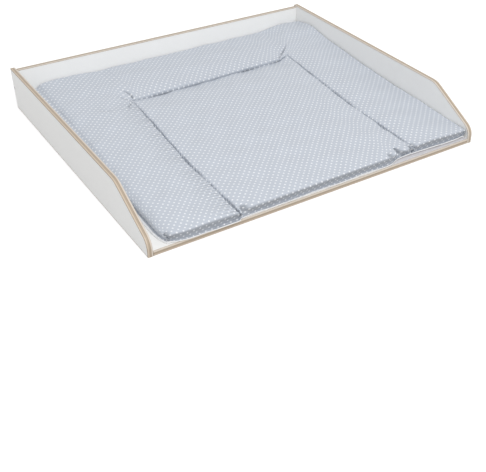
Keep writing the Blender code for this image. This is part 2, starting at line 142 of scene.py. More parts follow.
def uneven(finish, pattern, spread, least):
    """A value that goes from least to least + spread as the pattern goes from 0 to 1."""
    return add_math(finish, "MULTIPLY_ADD", pattern, spread, least)


def add_range(finish, value, start, end, low=0.0, high=1.0, curve="LINEAR"):
    """A value that goes from low at start to high at end, and stays level past both."""
    inputs = [(0, value), (1, start), (2, end), (3, low), (4, high)]
    return add_node(finish, "MapRange", inputs, interpolation_type=curve).outputs[0]


def add_noise(finish, vector, scale, detail=2.0, distortion=0.0):
    """Soft noise from 0 to 1 with this many waves in a unit of the vector."""
    inputs = [("Vector", vector), ("Scale", scale), ("Detail", detail), ("Distortion", distortion)]
    return add_node(finish, "TexNoise", inputs).outputs["Fac"]


def add_mix(finish, factor, first, second, blend="MIX"):
    """The colour that goes from first to second, or to their blend, as the factor goes from 0 to 1."""
    made = add_node(finish, "Mix", [("Factor", factor)], data_type="RGBA", blend_type=blend)
    for place, colour in ((6, first), (7, second)):
        if isinstance(colour, bpy.types.NodeSocket):
            finish.node_tree.links.new(colour, made.inputs[place])
        else:
            made.inputs[place].default_value = (*colour, 1.0)
    return made.outputs[2]


def link_shader(finish, colour=None, roughness=None, height=None, strength=1.0, distance=0.001, normal=None):
    """Links the shader's colour, roughness, and a bump of this height pattern on top of another normal."""
    shader = finish.node_tree.nodes["Principled BSDF"]
    for socket, source in (("Base Color", colour), ("Roughness", roughness)):
        if source is not None:
            finish.node_tree.links.new(source, shader.inputs[socket])
    if height is not None:
        bump = add_node(finish, "Bump", [("Strength", strength), ("Distance", distance), ("Height", height)])
        if normal is not None:
            finish.node_tree.links.new(normal, bump.inputs["Normal"])
        finish.node_tree.links.new(bump.outputs["Normal"], shader.inputs["Normal"])
    return finish


def melamine(name, film_axis=None, film_start=0.0, painted_hem_shadow=False):
    """White melamine with a faint pearl grain. Chips show at the rear between the films across film_axis.

    When set, the front right end of the top is darkened by a painted shadow of the mat's lifted hem, where
    the mat leaves the base bare.
    """
    finish = new_finish(name, Roughness=0.4, Coat_Weight=0.1, Coat_Roughness=0.3)
    place = add_node(finish, "TexCoord").outputs["Object"]
    patches = add_noise(finish, place, SHADE_PATCHES_PER_METRE)
    colour = add_mix(finish, patches, MELAMINE_WHITE, MELAMINE_SHADE)
    pearls = add_noise(finish, place, PEARLS_PER_METRE, detail=1.0)
    roughness = uneven(finish, pearls, spread=0.12, least=0.34)
    axes = add_node(finish, "SeparateXYZ", [(0, place)])
    # Painted shadow of the mat's lifted hem on the front right end of the top.
    if painted_hem_shadow:
        ahead = add_range(finish, axes.outputs[1], *STRIP_DEEP)
        to_right = add_range(finish, axes.outputs[0], *STRIP_LONG)
        colour = add_mix(finish, add_math(finish, "MULTIPLY", ahead, to_right), colour, STRIP_SHADE)
    if film_axis is not None:
        rear = add_math(finish, "GREATER_THAN", axes.outputs[1], TRAY_HALF_DEPTH - MELAMINE_FILM)
        across = add_math(finish, "ABSOLUTE", axes.outputs[film_axis])
        past_film = add_math(finish, "GREATER_THAN", across, film_start + MELAMINE_FILM)
        before_film = add_math(finish, "LESS_THAN", across, film_start + BOARD - MELAMINE_FILM)
        raw = add_math(finish, "MULTIPLY", add_math(finish, "MULTIPLY", past_film, before_film), rear)
        chips = add_node(finish, "TexVoronoi", [("Vector", place), ("Scale", CHIPS_PER_METRE)])
        tone = add_node(finish, "SeparateColor", [(0, chips.outputs["Color"])]).outputs[0]
        colour = add_mix(finish, raw, colour, add_ramp(finish, tone, CHIP_COLOURS))
        roughness = uneven(finish, raw, spread=0.5, least=roughness)
        pearls = uneven(finish, add_math(finish, "MULTIPLY", raw, tone), spread=CHIP_RELIEF, least=pearls)
    return link_shader(finish, colour, roughness, pearls, strength=0.25, distance=0.00015)


def dress(finish, *names):
    """Gives CAD nodes a finish in place of the plain one."""
    for name in names:
        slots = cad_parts[name].data.materials
        slots.clear()
        slots.append(finish)


dress(melamine("melamine_sides", 0, TRAY_HALF_WIDTH - BOARD), "left_side_panel", "right_side_panel")
dress(melamine("melamine_base", 2, painted_hem_shadow=True), "base_board")
dress(melamine("melamine_back"), "back_panel")


# Each cut edge of a board carries a 2 mm plastic edge band, printed to look like the layers of plywood.
# The bands are glued on, run over the bend and the toe of the sides in one piece, and have milled edges.
BAND = 0.002
BAND_ROUND = 0.0013
BAND_TONES = (
    (0.00, (0.58, 0.51, 0.43)),
    (0.07, (0.68, 0.62, 0.55)),
    (0.26, (0.67, 0.60, 0.52)),
    (0.33, (0.50, 0.42, 0.33)),
    (0.38, (0.36, 0.285, 0.21)),
    (0.45, (0.38, 0.30, 0.225)),
    (0.50, (0.49, 0.405, 0.315)),
    (0.56, (0.46, 0.375, 0.29)),
    (0.62, (0.37, 0.295, 0.22)),
    (0.68, (0.52, 0.435, 0.34)),
    (0.80, (0.62, 0.53, 0.425)),
    (0.93, (0.58, 0.49, 0.39)),
    (1.00, (0.34, 0.27, 0.20)),
)
SIDE_TOP = 0.108
BACK_TOP = 0.104
TOE_HEIGHT = 0.036
BEND_SETBACK = 0.139
BEND_RADIUS = 0.055
TOE_RADIUS = 0.032
ROUND_STEPS = 5
ARC_STEPS = 24
FACE_GAP = 0.0003
LAYER_WANDER = 0.05
WANDERS_PER_METRE = 9.0
BAND_FIBRES_PER_METRE = (60.0, 2600.0, 1.0)
FIBRE_TONES = ((0.25, (0.80, 0.78, 0.76)), (0.7, (1.04, 1.04, 1.04)))


def grid_faces(rows, columns, close_columns=False, first=0):
    """Quads between neighbouring points of a grid that is numbered row by row from first."""
    row, column = np.meshgrid(np.arange(rows - 1), np.arange(columns - (not close_columns)), indexing="ij")
    here = first + row * columns + column
    beside = first + row * columns + (column + 1) % columns
    return np.stack([here, here + columns, beside + columns, beside], axis=-1).reshape(-1, 4)


def new_piece(name, points, faces, finish, uv=None, smooth_under=40.0):
    """A mesh object. faces lists arrays of quads or triangles, and uv holds two values a point."""
    mesh = bpy.data.meshes.new(name)
    mesh.from_pydata(points.reshape(-1, 3).tolist(), [], [face for group in faces for face in group.tolist()])
    if uv is not None:
        corners = np.empty(len(mesh.loops), np.int32)
        mesh.loops.foreach_get("vertex_index", corners)
        layer = mesh.uv_layers.new(name="cut")
        layer.data.foreach_set("uv", uv.reshape(-1, 2)[corners].astype(np.float32).ravel())
    mesh.shade_smooth()
    mesh.set_sharp_from_angle(angle=np.radians(smooth_under))
    mesh.materials.append(finish)
    piece = bpy.data.objects.new(name, mesh)
    bpy.context.scene.collection.objects.link(piece)
    return piece


def belongs(piece, body, slot, *nodes):
    """Says which body the piece rides on and the CAD nodes that it stands for. slot, its finish, is not used.
    """
    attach(piece, body)
    if nodes:
        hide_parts(*nodes)
    return piece


def ply_look():
    """The band's print: layers across its width, each with fine fibres that run along the band."""
    finish = new_finish("ply_look", Roughness=0.45, Specular_IOR_Level=0.4)
    uv = add_node(finish, "UVMap", uv_map="cut").outputs[0]
    axes = add_node(finish, "SeparateXYZ", [(0, uv)])
    wander = add_noise(finish, uv, WANDERS_PER_METRE)
    share = add_math(finish, "DIVIDE", axes.outputs[1], BOARD)
    share = uneven(finish, wander, LAYER_WANDER, add_math(finish, "SUBTRACT", share, LAYER_WANDER / 2))
    layers = add_ramp(finish, share, BAND_TONES)
    stretched = add_node(finish, "Mapping", [(0, uv), ("Scale", BAND_FIBRES_PER_METRE)])
    fibres = add_noise(finish, stretched.outputs[0], 1.0, detail=3.0)
    shade = add_ramp(finish, fibres, FIBRE_TONES)
    colour = add_mix(finish, 1.0, layers, shade, blend="MULTIPLY")
    return link_shader(finish, colour, None, fibres, strength=0.2, distance=0.0001)


def closed_tube(name, points, finish, uv=None, flip=False):
    """A closed piece from rings of points: quads between the rings and a cap at each end."""
    rows, around = points.shape[:2]
    ring = np.arange(around)[None]
    faces = [grid_faces(rows, around, close_columns=True), ring, (rows - 1) * around + ring[:, ::-1]]
    if flip:
        faces = [group[:, ::-1] for group in faces]
    return new_piece(name, points, faces, finish, uv)


def edge_band(name, line, inward, sideways, finish):
    """A section with rounded outer edges carried along a line: line + inward * depth + sideways * place."""
    turn = np.linspace(0.0, np.pi / 2, ROUND_STEPS)
    rounded = BAND_ROUND * (1 - np.sin(turn))
    near_side = BAND_ROUND * (1 - np.cos(turn))
    place = np.concatenate([[0.0], near_side, BOARD - near_side[::-1], [BOARD]])
    depth = np.concatenate([[BAND], rounded, rounded[::-1], [BAND]])
    points = (
        line[:, None, :]
        + inward[:, None, :] * depth[None, :, None]
        + np.array(sideways) * place[None, :, None]
    )
    steps = np.linalg.norm(np.diff(line, axis=0), axis=1)
    along = np.concatenate([[0.0], np.cumsum(steps)])
    uv = np.stack(np.broadcast_arrays(along[:, None], place[None, :]), axis=-1)
    forward = np.cross(line[1] - line[0], np.array(sideways)) @ inward[0]
    piece = closed_tube(name + "_piece", points, finish, uv, flip=forward > 0)
    return belongs(piece, "tray", "ply_look_band", name)


def side_outline():
    """The side's upper edge as (y, z) points with inward directions: level, bend, slope, toe, front end.

    An arc's points are its centre minus the radius times the inward direction, which turns evenly.
    """
    slope_angle = np.arctan2(SIDE_TOP - TOE_HEIGHT, BEND_SETBACK)
    bend_turn = np.linspace(0.0, slope_angle, ARC_STEPS)
    toe_turn = np.linspace(slope_angle, np.pi / 2, ARC_STEPS)
    bend_y = BEND_SETBACK - TRAY_HALF_DEPTH + BEND_RADIUS * np.tan(slope_angle / 2)
    bend_centre = np.array([bend_y, SIDE_TOP - BEND_RADIUS])
    toe_centre_z = TOE_HEIGHT - TOE_RADIUS * np.tan((np.pi / 2 - slope_angle) / 2)
    toe_centre = np.array([TOE_RADIUS - TRAY_HALF_DEPTH, toe_centre_z])
    turn = np.concatenate([[0.0], bend_turn, toe_turn, [np.pi / 2]])
    inward = np.stack([np.sin(turn), -np.cos(turn)], axis=1)
    arcs = [
        bend_centre - BEND_RADIUS * inward[1 : ARC_STEPS + 1],
        toe_centre - TOE_RADIUS * inward[ARC_STEPS + 1 : -1],
    ]
    ends = np.array([[TRAY_HALF_DEPTH, SIDE_TOP]]), np.array([[-TRAY_HALF_DEPTH, 0.0]])
    return np.concatenate([ends[0], *arcs, ends[1]]), inward


def in_space(profile, x=0.0):
    """(y, z) pairs as points or directions in space at this x."""
    return np.insert(profile, 0, x, axis=1)


ply = ply_look()
outline, outline_inward = side_outline()
foot_line = np.array([(BAND + FACE_GAP - TRAY_HALF_DEPTH, 0.0), (TRAY_HALF_DEPTH, 0.0)])
upward = np.array([(0.0, 1.0), (0.0, 1.0)])
for side, hand in (("left", -1), ("right", 1)):
    inner_x = hand * (TRAY_HALF_WIDTH - BOARD)
    for edge, line, inward in (("side", outline, outline_inward), ("foot", foot_line, upward)):
        name = f"{side}_{edge}_edge_band"
        edge_band(name, in_space(line, inner_x), in_space(inward), (hand, 0.0, 0.0), ply)
reach = TRAY_HALF_WIDTH - BOARD - FACE_GAP
for name, y, z, inward, sideways in (
    ("base_front_edge_band", -TRAY_HALF_DEPTH, BOARD, (0.0, 1.0, 0.0), (0.0, 0.0, -1.0)),
    ("back_top_edge_band", TRAY_HALF_DEPTH - BOARD, BACK_TOP, (0.0, 0.0, -1.0), (0.0, 1.0, 0.0)),
):
    edge_band(name, np.array([(-reach, y, z), (reach, y, z)]), np.array([inward] * 2), sideways, ply)


# Fluted beech dowels, 6 by 30 mm, join sides, base and back. Each is chamfered and pressed with
# straight flutes, and sits in the glued holes that cross the joint.
DOWEL_RADIUS = 0.003
DOWEL_CHAMFER = 0.0009
DOWEL_FLUTES = 14
DOWEL_FLUTE_DEPTH = 0.00025
DOWEL_TONES = ((0.2, (0.47, 0.29, 0.15)), (0.55, (0.62, 0.42, 0.25)), (0.9, (0.72, 0.52, 0.34)))
DOWEL_FLECKS_PER_METRE = (220.0, 2400.0, 1.0)
DOWEL_ROWS, DOWEL_AROUND = 12, 84
DOWEL_END_MIDDLE = 0.00025


def turned(centre, direction, along, radius, around):
    """Points of a turned shape: centre + direction * along + radius, a row of values for each place along."""
    axis = np.array(direction, float)
    across = np.roll(axis, 1)
    upright = np.cross(axis, across)
    angle = np.arange(around) * (2 * np.pi / around)
    ring = np.cos(angle)[:, None] * across + np.sin(angle)[:, None] * upright
    return centre + axis * along[:, None, None] + ring[None] * radius[:, :, None]


def beech():
    """Raw beech: short dark flecks drawn out along the grain."""
    finish = new_finish("raw_beech", Roughness=0.65)
    uv = add_node(finish, "UVMap", uv_map="cut").outputs[0]
    stretched = add_node(finish, "Mapping", [(0, uv), ("Scale", DOWEL_FLECKS_PER_METRE)])
    flecks = add_noise(finish, stretched.outputs[0], 1.0, detail=4.0)
    colour = add_ramp(finish, flecks, DOWEL_TONES)
    return link_shader(finish, colour, None, flecks, strength=0.3, distance=0.0001)


def box_axis(node):
    """Middle, direction and length of a long thin node, from its box."""
    low, high = (np.array(corner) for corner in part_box(node))
    size = high - low
    direction = np.zeros(3)
    direction[np.argmax(size)] = 1.0
    return (low + high) / 2, direction, size.max()


beech_finish = beech()
for name in sorted(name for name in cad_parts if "_dowel" in name):
    middle, direction, length = box_axis(name)
    along = np.concatenate([
        [0.0, 0.0, DOWEL_CHAMFER / 2],
        np.linspace(DOWEL_CHAMFER, length - DOWEL_CHAMFER, DOWEL_ROWS),
        [length - DOWEL_CHAMFER / 2, length, length],
    ]) - length / 2
    end = np.minimum(length / 2 - abs(along), DOWEL_CHAMFER) - DOWEL_CHAMFER
    bevel = DOWEL_RADIUS + end
    bevel[[0, -1]] = DOWEL_END_MIDDLE
    angle = np.arange(DOWEL_AROUND) * (2 * np.pi / DOWEL_AROUND)
    flute = DOWEL_FLUTE_DEPTH * (0.5 - 0.5 * np.cos(DOWEL_FLUTES * angle)) ** 2
    radius = bevel[:, None] - np.minimum(flute[None, :], bevel[:, None] / 2)
    points = turned(middle, direction, along, radius, DOWEL_AROUND)
    uv = np.stack(np.broadcast_arrays(along[:, None], angle[None, :] * DOWEL_RADIUS), axis=-1)
    piece = closed_tube(name + "_piece", points, beech_finish, uv, flip=True)
    belongs(piece, "tray", "dowel_wood", name)


# One zinc-plated countersunk screw, 4 by 40 mm, runs through each side into the end of the back board.
# It has a rolled thread, a cone under its head, a cross recess, and sits a little below the white face.
SCREW_HEAD_RADIUS = 0.0042
SCREW_HEAD_EDGE = 0.0005
SCREW_HEAD_CONE = 0.0024
SCREW_SHANK_RADIUS = 0.0020
SCREW_CORE_RADIUS = 0.00145
SCREW_PLAIN_SHANK = 0.006
SCREW_PITCH = 0.0018
SCREW_TIP = 0.005
SCREW_POINT_RADIUS = 0.0003
SCREW_CREST = 0.28
SCREW_FACE_ROWS, SCREW_AROUND = 30, 72
SCREW_ROW_STEP, SCREW_ROUND = 0.00022, 0.0001
RECESS_REACH = 0.0024
RECESS_HALF_WIDTH, RECESS_WALL = 0.00055, 0.0002
RECESS_DEPTH = 0.0021
RUBS_PER_METRE = 900.0
ZINC_TONES = ((0.3, (0.40, 0.40, 0.41)), (0.7, (0.58, 0.58, 0.60)))


def zinc_plate():
    """Bright zinc with fine rubbed scratches of uneven gloss."""
    finish = new_finish("zinc_plate", Metallic=1.0, Roughness=0.34)
    place = add_node(finish, "TexCoord").outputs["Object"]
    rubs = add_noise(finish, place, RUBS_PER_METRE, detail=4.0)
    colour = add_ramp(finish, rubs, ZINC_TONES)
    roughness = uneven(finish, rubs, spread=0.25, least=0.22)
    return link_shader(finish, colour, roughness, rubs, strength=0.2, distance=0.0001)


def recess_depth(reach, angle):
    """How deep the cross recess is at a distance and angle from the middle of the head.

    Each arm's depth falls evenly from the middle to its end, and its walls lean a little.
    """
    long_way, short_way = abs(reach * np.cos(angle)), abs(reach * np.sin(angle))
    deepest = 0.0
    for out, across in ((long_way, short_way), (short_way, long_way)):
        wall = np.clip((RECESS_HALF_WIDTH - across) / RECESS_WALL + 0.5, 0.0, 1.0)
        slope = np.clip(1.15 - out / RECESS_REACH, 0.0, 1.0)
        deepest = np.maximum(deepest, RECESS_DEPTH * wall * slope)
    return deepest


zinc = zinc_plate()
for side, hand in (("left", -1), ("right", 1)):
    middle, direction, length = box_axis(f"{side}_screw")
    head_place = middle + direction * hand * length / 2
    angle = np.arange(SCREW_AROUND) * (2 * np.pi / SCREW_AROUND)
    face_reach = np.linspace(SCREW_ROUND / 2, SCREW_HEAD_RADIUS - SCREW_ROUND, SCREW_FACE_ROWS)
    neck = SCREW_HEAD_EDGE + SCREW_HEAD_CONE
    shank = np.arange(neck, length, SCREW_ROW_STEP)
    along = np.concatenate([np.zeros(SCREW_FACE_ROWS), [SCREW_ROUND, SCREW_HEAD_EDGE], shank, [length]])
    plain = np.concatenate([
        face_reach,
        [SCREW_HEAD_RADIUS, SCREW_HEAD_RADIUS],
        np.full(len(shank), SCREW_SHANK_RADIUS),
        [SCREW_POINT_RADIUS],
    ])
    turns = (along[:, None] / SCREW_PITCH - angle[None, :] / (2 * np.pi)) % 1.0
    crest = np.clip(1 - abs(turns - 0.5) / SCREW_CREST, 0.0, 1.0)
    threaded = np.clip((along - neck - SCREW_PLAIN_SHANK) / SCREW_PITCH, 0.0, 1.0)[:, None]
    thread = (SCREW_SHANK_RADIUS - SCREW_CORE_RADIUS) * (1 - crest) * threaded
    point = np.clip((length - along) / SCREW_TIP, 0.05, 1.0)[:, None]
    radius = np.where(along[:, None] >= neck, (plain[:, None] - thread) * point, plain[:, None])
    recess = recess_depth(plain[:, None], angle[None, :])
    sunk = along[:, None] + np.where((along == 0.0)[:, None], recess, 0.0)
    points = turned(head_place, -hand * direction, np.zeros(len(along)), radius, SCREW_AROUND)
    points = points + (-hand * direction) * sunk[:, :, None]
    piece = closed_tube(f"{side}_screw_piece", points, zinc, flip=True)
    belongs(piece, "tray", "screw_steel", f"{side}_screw")


# The changing mat's upper sheet is coated cotton with small white dots. Two side seams and a rear seam sew
# it to the lower sheet, so that the wadding stands up between them, and its rim is welded into a flat hem.
# It is drawn as a plain form, cloth simulation fills it, and then its seams are puckered and creased, with
# painted shade in its colour at the seams, creases, dents and under its front and left edges.
MAT_LEFT, MAT_RIGHT = -0.3945, 0.4215
MAT_FRONT, MAT_REAR = -0.378, 0.367
LEFT_SEAM, RIGHT_SEAM, REAR_SEAM = -0.2245, 0.2565, 0.177
HEM, TUCKED_HEM = 0.003, 0.002
FILLING_FLOOR = 0.0134
SHEET = 0.0008
FRONT_THICKNESS, REAR_THICKNESS = 0.0222, 0.040
BORDER_CROWN, CENTRE_CROWN = 0.006, 0.003
WALL_RISE_PLACES = (-0.36, -0.28, -0.20, -0.08, 0.0, 0.055, 0.10, 0.15, 0.20, 0.26, 0.30, 0.335, 0.367)
WALL_RISES = (-0.003, -0.002, 0.0, 0.001, 0.004, 0.007, 0.011, 0.014, 0.017, 0.021, 0.021, 0.014, 0.003)
TURN_CUT, EDGE_ROUND, TURN_REACH = 0.018, 0.0052, 0.045
LEFT_TURN_CUT = 0.032
FRONT_OVERHANG, WALL_OVERHANG = 0.0080, 0.006
LEFT_OVERHANG_FRONT, LEFT_OVERHANG_REAR = 0.0035, 0.020
LEFT_OVERHANG_PLACES = (-0.3, 0.2)
GROOVE_CUT, GROOVE_ROUND, GROOVE_REACH = 0.015, 0.0042, 0.034
GROOVE_PLACES = (-0.378, -0.36, -0.30, 0.00, 0.08, 0.15, 0.177)
GROOVE_DEPTHS = (0.0125, 0.0105, 0.010, 0.0105, 0.0090, 0.005, 0.003)
REAR_GROOVE_DEPTH, REAR_LIP, REAR_LIP_REACH = 0.018, 0.0065, 0.024
REAR_GROOVE_LOSS, REAR_GROOVE_END = 0.9, (0.218, 0.242)
DIP_SHARE, DIP_REACH = 0.30, 0.024
CENTRE_SINK, CENTRE_SINK_REACH = 0.008, 0.060
SINK_ENDS = (LEFT_SEAM - 0.01, LEFT_SEAM + 0.03), (RIGHT_SEAM - 0.04, RIGHT_SEAM - 0.01)
REAR_SEAM_ENDS = (LEFT_SEAM - 0.022, LEFT_SEAM + 0.004), (RIGHT_SEAM - 0.030, RIGHT_SEAM + 0.008)
SIDE_SEAM_END = REAR_SEAM - 0.004, REAR_SEAM + 0.022
SIDE_DRAW, CORNER_DRAW, EDGE_REACH = 0.003, 0.009, 0.060
LEFT_FRONT_DRAW, RIGHT_REAR_DRAW = 2.0, 0.15
FLARE, FLARE_PLACES = 0.0015, (0.20, 0.36)
FRONT_SHIFTS = (
    (0.0055, (-0.235, -0.195)),
    (-0.0055, (-0.39, -0.34)),
    (0.010, (0.180, 0.212)),
    (-0.005, (0.28, 0.41)),
)
HEM_LIFT, HEM_RIPPLE, HEM_LIFT_REACH = 0.0006, 0.0005, 0.034
HEM_WAVES = ((0.017, 1.3), (0.0071, 0.4))
HEM_LIFTS = ((0.0034, (0.16, 0.24)), (0.0012, (-0.30, -0.38)))
REAR_SEAM_SKEW = 0.026
SEAM_LEAN, SEAM_LEAN_RUN = 0.022, 0.330
FRONT_DENTS = (
    (-0.3785, 0.0100, 0.0045),
    (-0.2245, 0.0080, 0.0045),
    (-0.2010, 0.0110, 0.0060),
    (-0.2130, -0.0050, 0.0045),
    (0.1850, 0.0060, 0.0040),
    (0.1980, -0.0030, 0.0040),
    (0.2130, 0.0140, 0.0048),
    (0.2270, -0.0045, 0.0050),
    (0.2390, 0.0070, 0.0032),
    (0.2530, 0.0150, 0.0042),
    (0.2615, -0.0040, 0.0030),
    (0.2700, 0.0130, 0.0042),
)
RUFFLE_PLACE = 0.2130
DENT_ENDS, DENT_LOSS = ((0.0, TURN_CUT / 2), (0.8 * TURN_CUT, 0.030)), 0.35
COARSE_STEP, FINE_STEP, FINE_REACH = 0.0052, 0.0014, 0.010
TURN_TOP_SHARE = 0.75
WALL_X, WALL_Y = 0.4226, 0.3676
HELD_IN_TURN, HELD_ON_TOP, ON_A_LINE = 0.75, 0.30, 0.0004
GROWTH_REACH, EDGE_GROWTH_REACH, LEAST_GROWTH = 0.035, 0.03, 0.15
SWELL_CAP = 0.006
LUMP_HEIGHT, LUMP_REACH = 0.00075, 0.03
LUMP_WAVES = (
    (1.0, 0.131, 0.217, 0.7),
    (1.0, 0.089, -0.171, 2.1),
    (0.7, 0.23, 0.067, 4.0),
    (0.5, 0.047, -0.061, 1.0),
)
PUCKER_DEPTH, PUCKER_STEP, SEAM_CLEAR = 0.0014, 0.0125, 0.0025
PUCKER_WANDER, WANDER_STEP = 1.6, 0.057
LEFT_PUCKERS, RIGHT_PUCKERS, REAR_PUCKERS = (0.040, 0.011), (0.012, 0.014), (0.006, 0.013)
RIGHT_PUCKER_SHARE, REAR_PUCKER_SHARE = 0.8, 0.5
SIDE_PUCKER_END = REAR_SEAM - 0.03, REAR_SEAM
REAR_PUCKER_ENDS = (LEFT_SEAM, LEFT_SEAM + 0.02), (RIGHT_SEAM - 0.02, RIGHT_SEAM)
# Painted shade: FURROW_SHADE in the puckers' furrows, and the reach and strength of the painted lines along
# the side and rear seams.
FURROW_DEPTH, FURROW_STEP, FURROW_SHADE, FURROW_POWER = 0.0010, 0.0094, 0.50, 2.5
SIDE_SHADE_REACH, REAR_SHADE_REACH = 0.0016, 0.0095
SIDE_SHADE, SIDE_SHADE_LOSS, SIDE_SHADE_END = 0.52, 0.48, (0.09, 0.16)
REAR_SHADE, REAR_SHADE_LOSS, REAR_SHADE_END = 0.85, 0.80, (0.222, 0.240)
# Painted shade under the edges: its share at the hem, its rise up the turn, and its fade.
HEM_SHADE, TURN_SHADE, TURN_SHADE_RISE, SHADE_FADE = 0.55, 0.45, (0.1, 0.45), 0.24
# A crease CREASE_SHADE_DEPTH deep gets the full painted shade along its fold.
CREASE_SHADE_DEPTH, CREASE_ENDS = 0.008, ((-0.05, 0.15), (0.6, 1.0))
CREASES = (
    (0.0055, 0.0022, ((-0.200, 0.180), (-0.197, 0.198), (-0.202, 0.213), (-0.214, 0.240))),
    (0.0045, 0.0022, ((-0.203, 0.172), (-0.213, 0.176), (-0.220, 0.186), (-0.232, 0.216))),
    (0.0045, 0.0022, ((-0.206, 0.168), (-0.217, 0.158), (-0.227, 0.146), (-0.231, 0.126))),
    (0.0052, 0.0026, ((0.246, 0.194), (0.262, 0.207), (0.288, 0.228), (0.320, 0.256))),
    (0.0020, 0.0035, ((-0.302, 0.150), (-0.290, 0.140), (-0.268, 0.136))),
)
DOT_SPACING, DOT_RADIUS, DOT_SOFT_EDGE = 0.0108, 0.0021, 0.04
DOT_TURN = np.radians(44.0)
RAGS_PER_METRE, DOT_RAGS = 1500.0, 0.03
GROUND_COLOUR = (0.494, 0.532, 0.594)
DOT_COLOUR = (0.78, 0.80, 0.83)
CLOUDS_PER_METRE, CLOUD_TONES = 22.0, (0.97, 1.03)
# SEAM_SHADE is the colour that painted shade multiplies in; FRONT_SHADE and LEFT_SHADE set the painted shade
# under the front and left edges.
SEAM_SHADE, FRONT_SHADE, LEFT_SHADE = 0.45, 0.72, 0.50
FRONT_SHADE_TOP, LEFT_SHADE_TOP, LEFT_SHADE_START = 0.58, 0.04, (0.10, 0.25)
DOT_SHADE_LOSS = 0.55
THREADS_PER_METRE, THREAD_TINT = 2300.0, 0.12


def graded_lines(anchors, coarse, fine, reach):
    """Places of grid lines. Each anchor has one, and steps grow from fine beside it to coarse."""
    anchors = np.array(anchors)
    lines = [anchors[:1]]
    for start, end in zip(anchors[:-1], anchors[1:]):
        place = np.linspace(start, end, 600)
        nearest = abs(place[:, None] - anchors).min(axis=1)
        step = coarse - (coarse - fine) * np.exp(-((nearest / reach) ** 2))
        cells = np.concatenate([[0.0], np.cumsum(np.diff(place) * (1 / step[1:] + 1 / step[:-1]) / 2)])
        count = max(1, round(cells[-1]))
        lines.append(np.interp(np.linspace(0.0, cells[-1], count + 1)[1:], cells, place))
    return np.concatenate(lines)


def smooth(value, low, high):
    """0 below low, 1 above high, and a smooth step between."""
    part = np.clip((value - low) / (high - low), 0.0, 1.0)
    return part * part * (3 - 2 * part)


def between(place, rise, fall):
    """1 from the end of rise to the start of fall, with smooth steps to 0 on both sides."""
    return smooth(place, *rise) * (1 - smooth(place, *fall))


def bulge(place, low, high):
    """A half wave that is 0 at low and at high."""
    return np.sin(np.pi * np.clip((place - low) / (high - low), 0.0, 1.0))


def side_seam_distance(x, y):
    """How far a place of the flat cut is from the nearer side seam, which ends at the rear seam."""
    return np.hypot(np.minimum(abs(x - LEFT_SEAM), abs(x - RIGHT_SEAM)), np.maximum(y - REAR_SEAM, 0.0))


def rear_seam_distance(x, y):
    """How far a place of the flat cut is from the rear seam, which runs between the side seams."""
    return np.hypot(y - REAR_SEAM, np.maximum(np.maximum(LEFT_SEAM - x, x - RIGHT_SEAM), 0.0))


def groove(distance, depth):
    """How deep a stitched groove is: depth * (1 - sin(90 deg * turn)), beside a wider soft dip."""
    turn = np.clip(distance / GROOVE_CUT, 0.0, 1.0)
    dip = DIP_SHARE * depth * np.exp(-((distance / DIP_REACH) ** 2))
    return (depth - DIP_SHARE * depth) * (1 - np.sin(np.pi / 2 * turn)) + dip


def cushion_height(x, y):
    """Height of the top over the filling's floor: thickness, crowns, grooves and the turn of the edges.

    Up the turn of an edge the height grows as sin(90 deg * turn)^0.75.
    """
    slant = (y - MAT_FRONT) / (MAT_REAR - MAT_FRONT)
    thickness = FRONT_THICKNESS + (REAR_THICKNESS - FRONT_THICKNESS) * slant
    side = np.maximum(bulge(x, MAT_LEFT, LEFT_SEAM), bulge(x, RIGHT_SEAM, MAT_RIGHT))
    crown = BORDER_CROWN * np.maximum(side, bulge(y, REAR_SEAM, MAT_REAR)) * (slant + 1) / 2
    crown += CENTRE_CROWN * bulge(x, LEFT_SEAM, RIGHT_SEAM) * bulge(y, MAT_FRONT, REAR_SEAM)
    to_wall = np.clip((x - RIGHT_SEAM) / (MAT_RIGHT - RIGHT_SEAM), 0.0, 1.0)
    wall_rise = np.interp(y, WALL_RISE_PLACES, WALL_RISES) * to_wall**1.5
    sink_reach = np.where(y < REAR_SEAM, CENTRE_SINK_REACH, GROOVE_CUT / 2)
    sink = CENTRE_SINK * np.exp(-(((REAR_SEAM - y) / sink_reach) ** 2))
    sink = sink * between(x, *SINK_ENDS)
    side_groove = groove(side_seam_distance(x, y), np.interp(y, GROOVE_PLACES, GROOVE_DEPTHS))
    rear_depth = REAR_GROOVE_DEPTH * (1 - REAR_GROOVE_LOSS * smooth(x, *REAR_GROOVE_END))
    rear_groove = groove(rear_seam_distance(x, y), rear_depth)
    height = thickness + crown + wall_rise - sink - np.maximum(side_groove, rear_groove)
    for inside, cut in (
        (x - MAT_LEFT - HEM, LEFT_TURN_CUT),
        (MAT_RIGHT - TUCKED_HEM - x, TURN_CUT),
        (np.minimum(y - MAT_FRONT - HEM, MAT_REAR - TUCKED_HEM - y), TURN_CUT),
    ):
        height = height * np.sin(np.pi / 2 * np.clip(inside / cut, 0.0, 1.0)) ** 0.75
    return height


def turned_in(inside, overhang):
    """Shift of a place, away from the mat's middle, where the edge turns over. inside counts from the hem.

    Up the turn the place lies EDGE_ROUND * (1 - cos(90 deg * turn)) - overhang * sin(180 deg * turn^1.3)
    in. The cloth that the turn takes is given back smoothly over TURN_REACH.
    """
    turn = np.clip(inside / TURN_CUT, 0.0, 1.0)
    over = EDGE_ROUND * (1 - np.cos(np.pi / 2 * turn)) - overhang * np.sin(np.pi * turn**1.3)
    level = inside - (TURN_CUT - EDGE_ROUND) * (1 - smooth(inside, TURN_CUT, TURN_CUT + TURN_REACH))
    return np.where(inside <= 0, 0.0, inside - np.where(turn < 1, over, level))


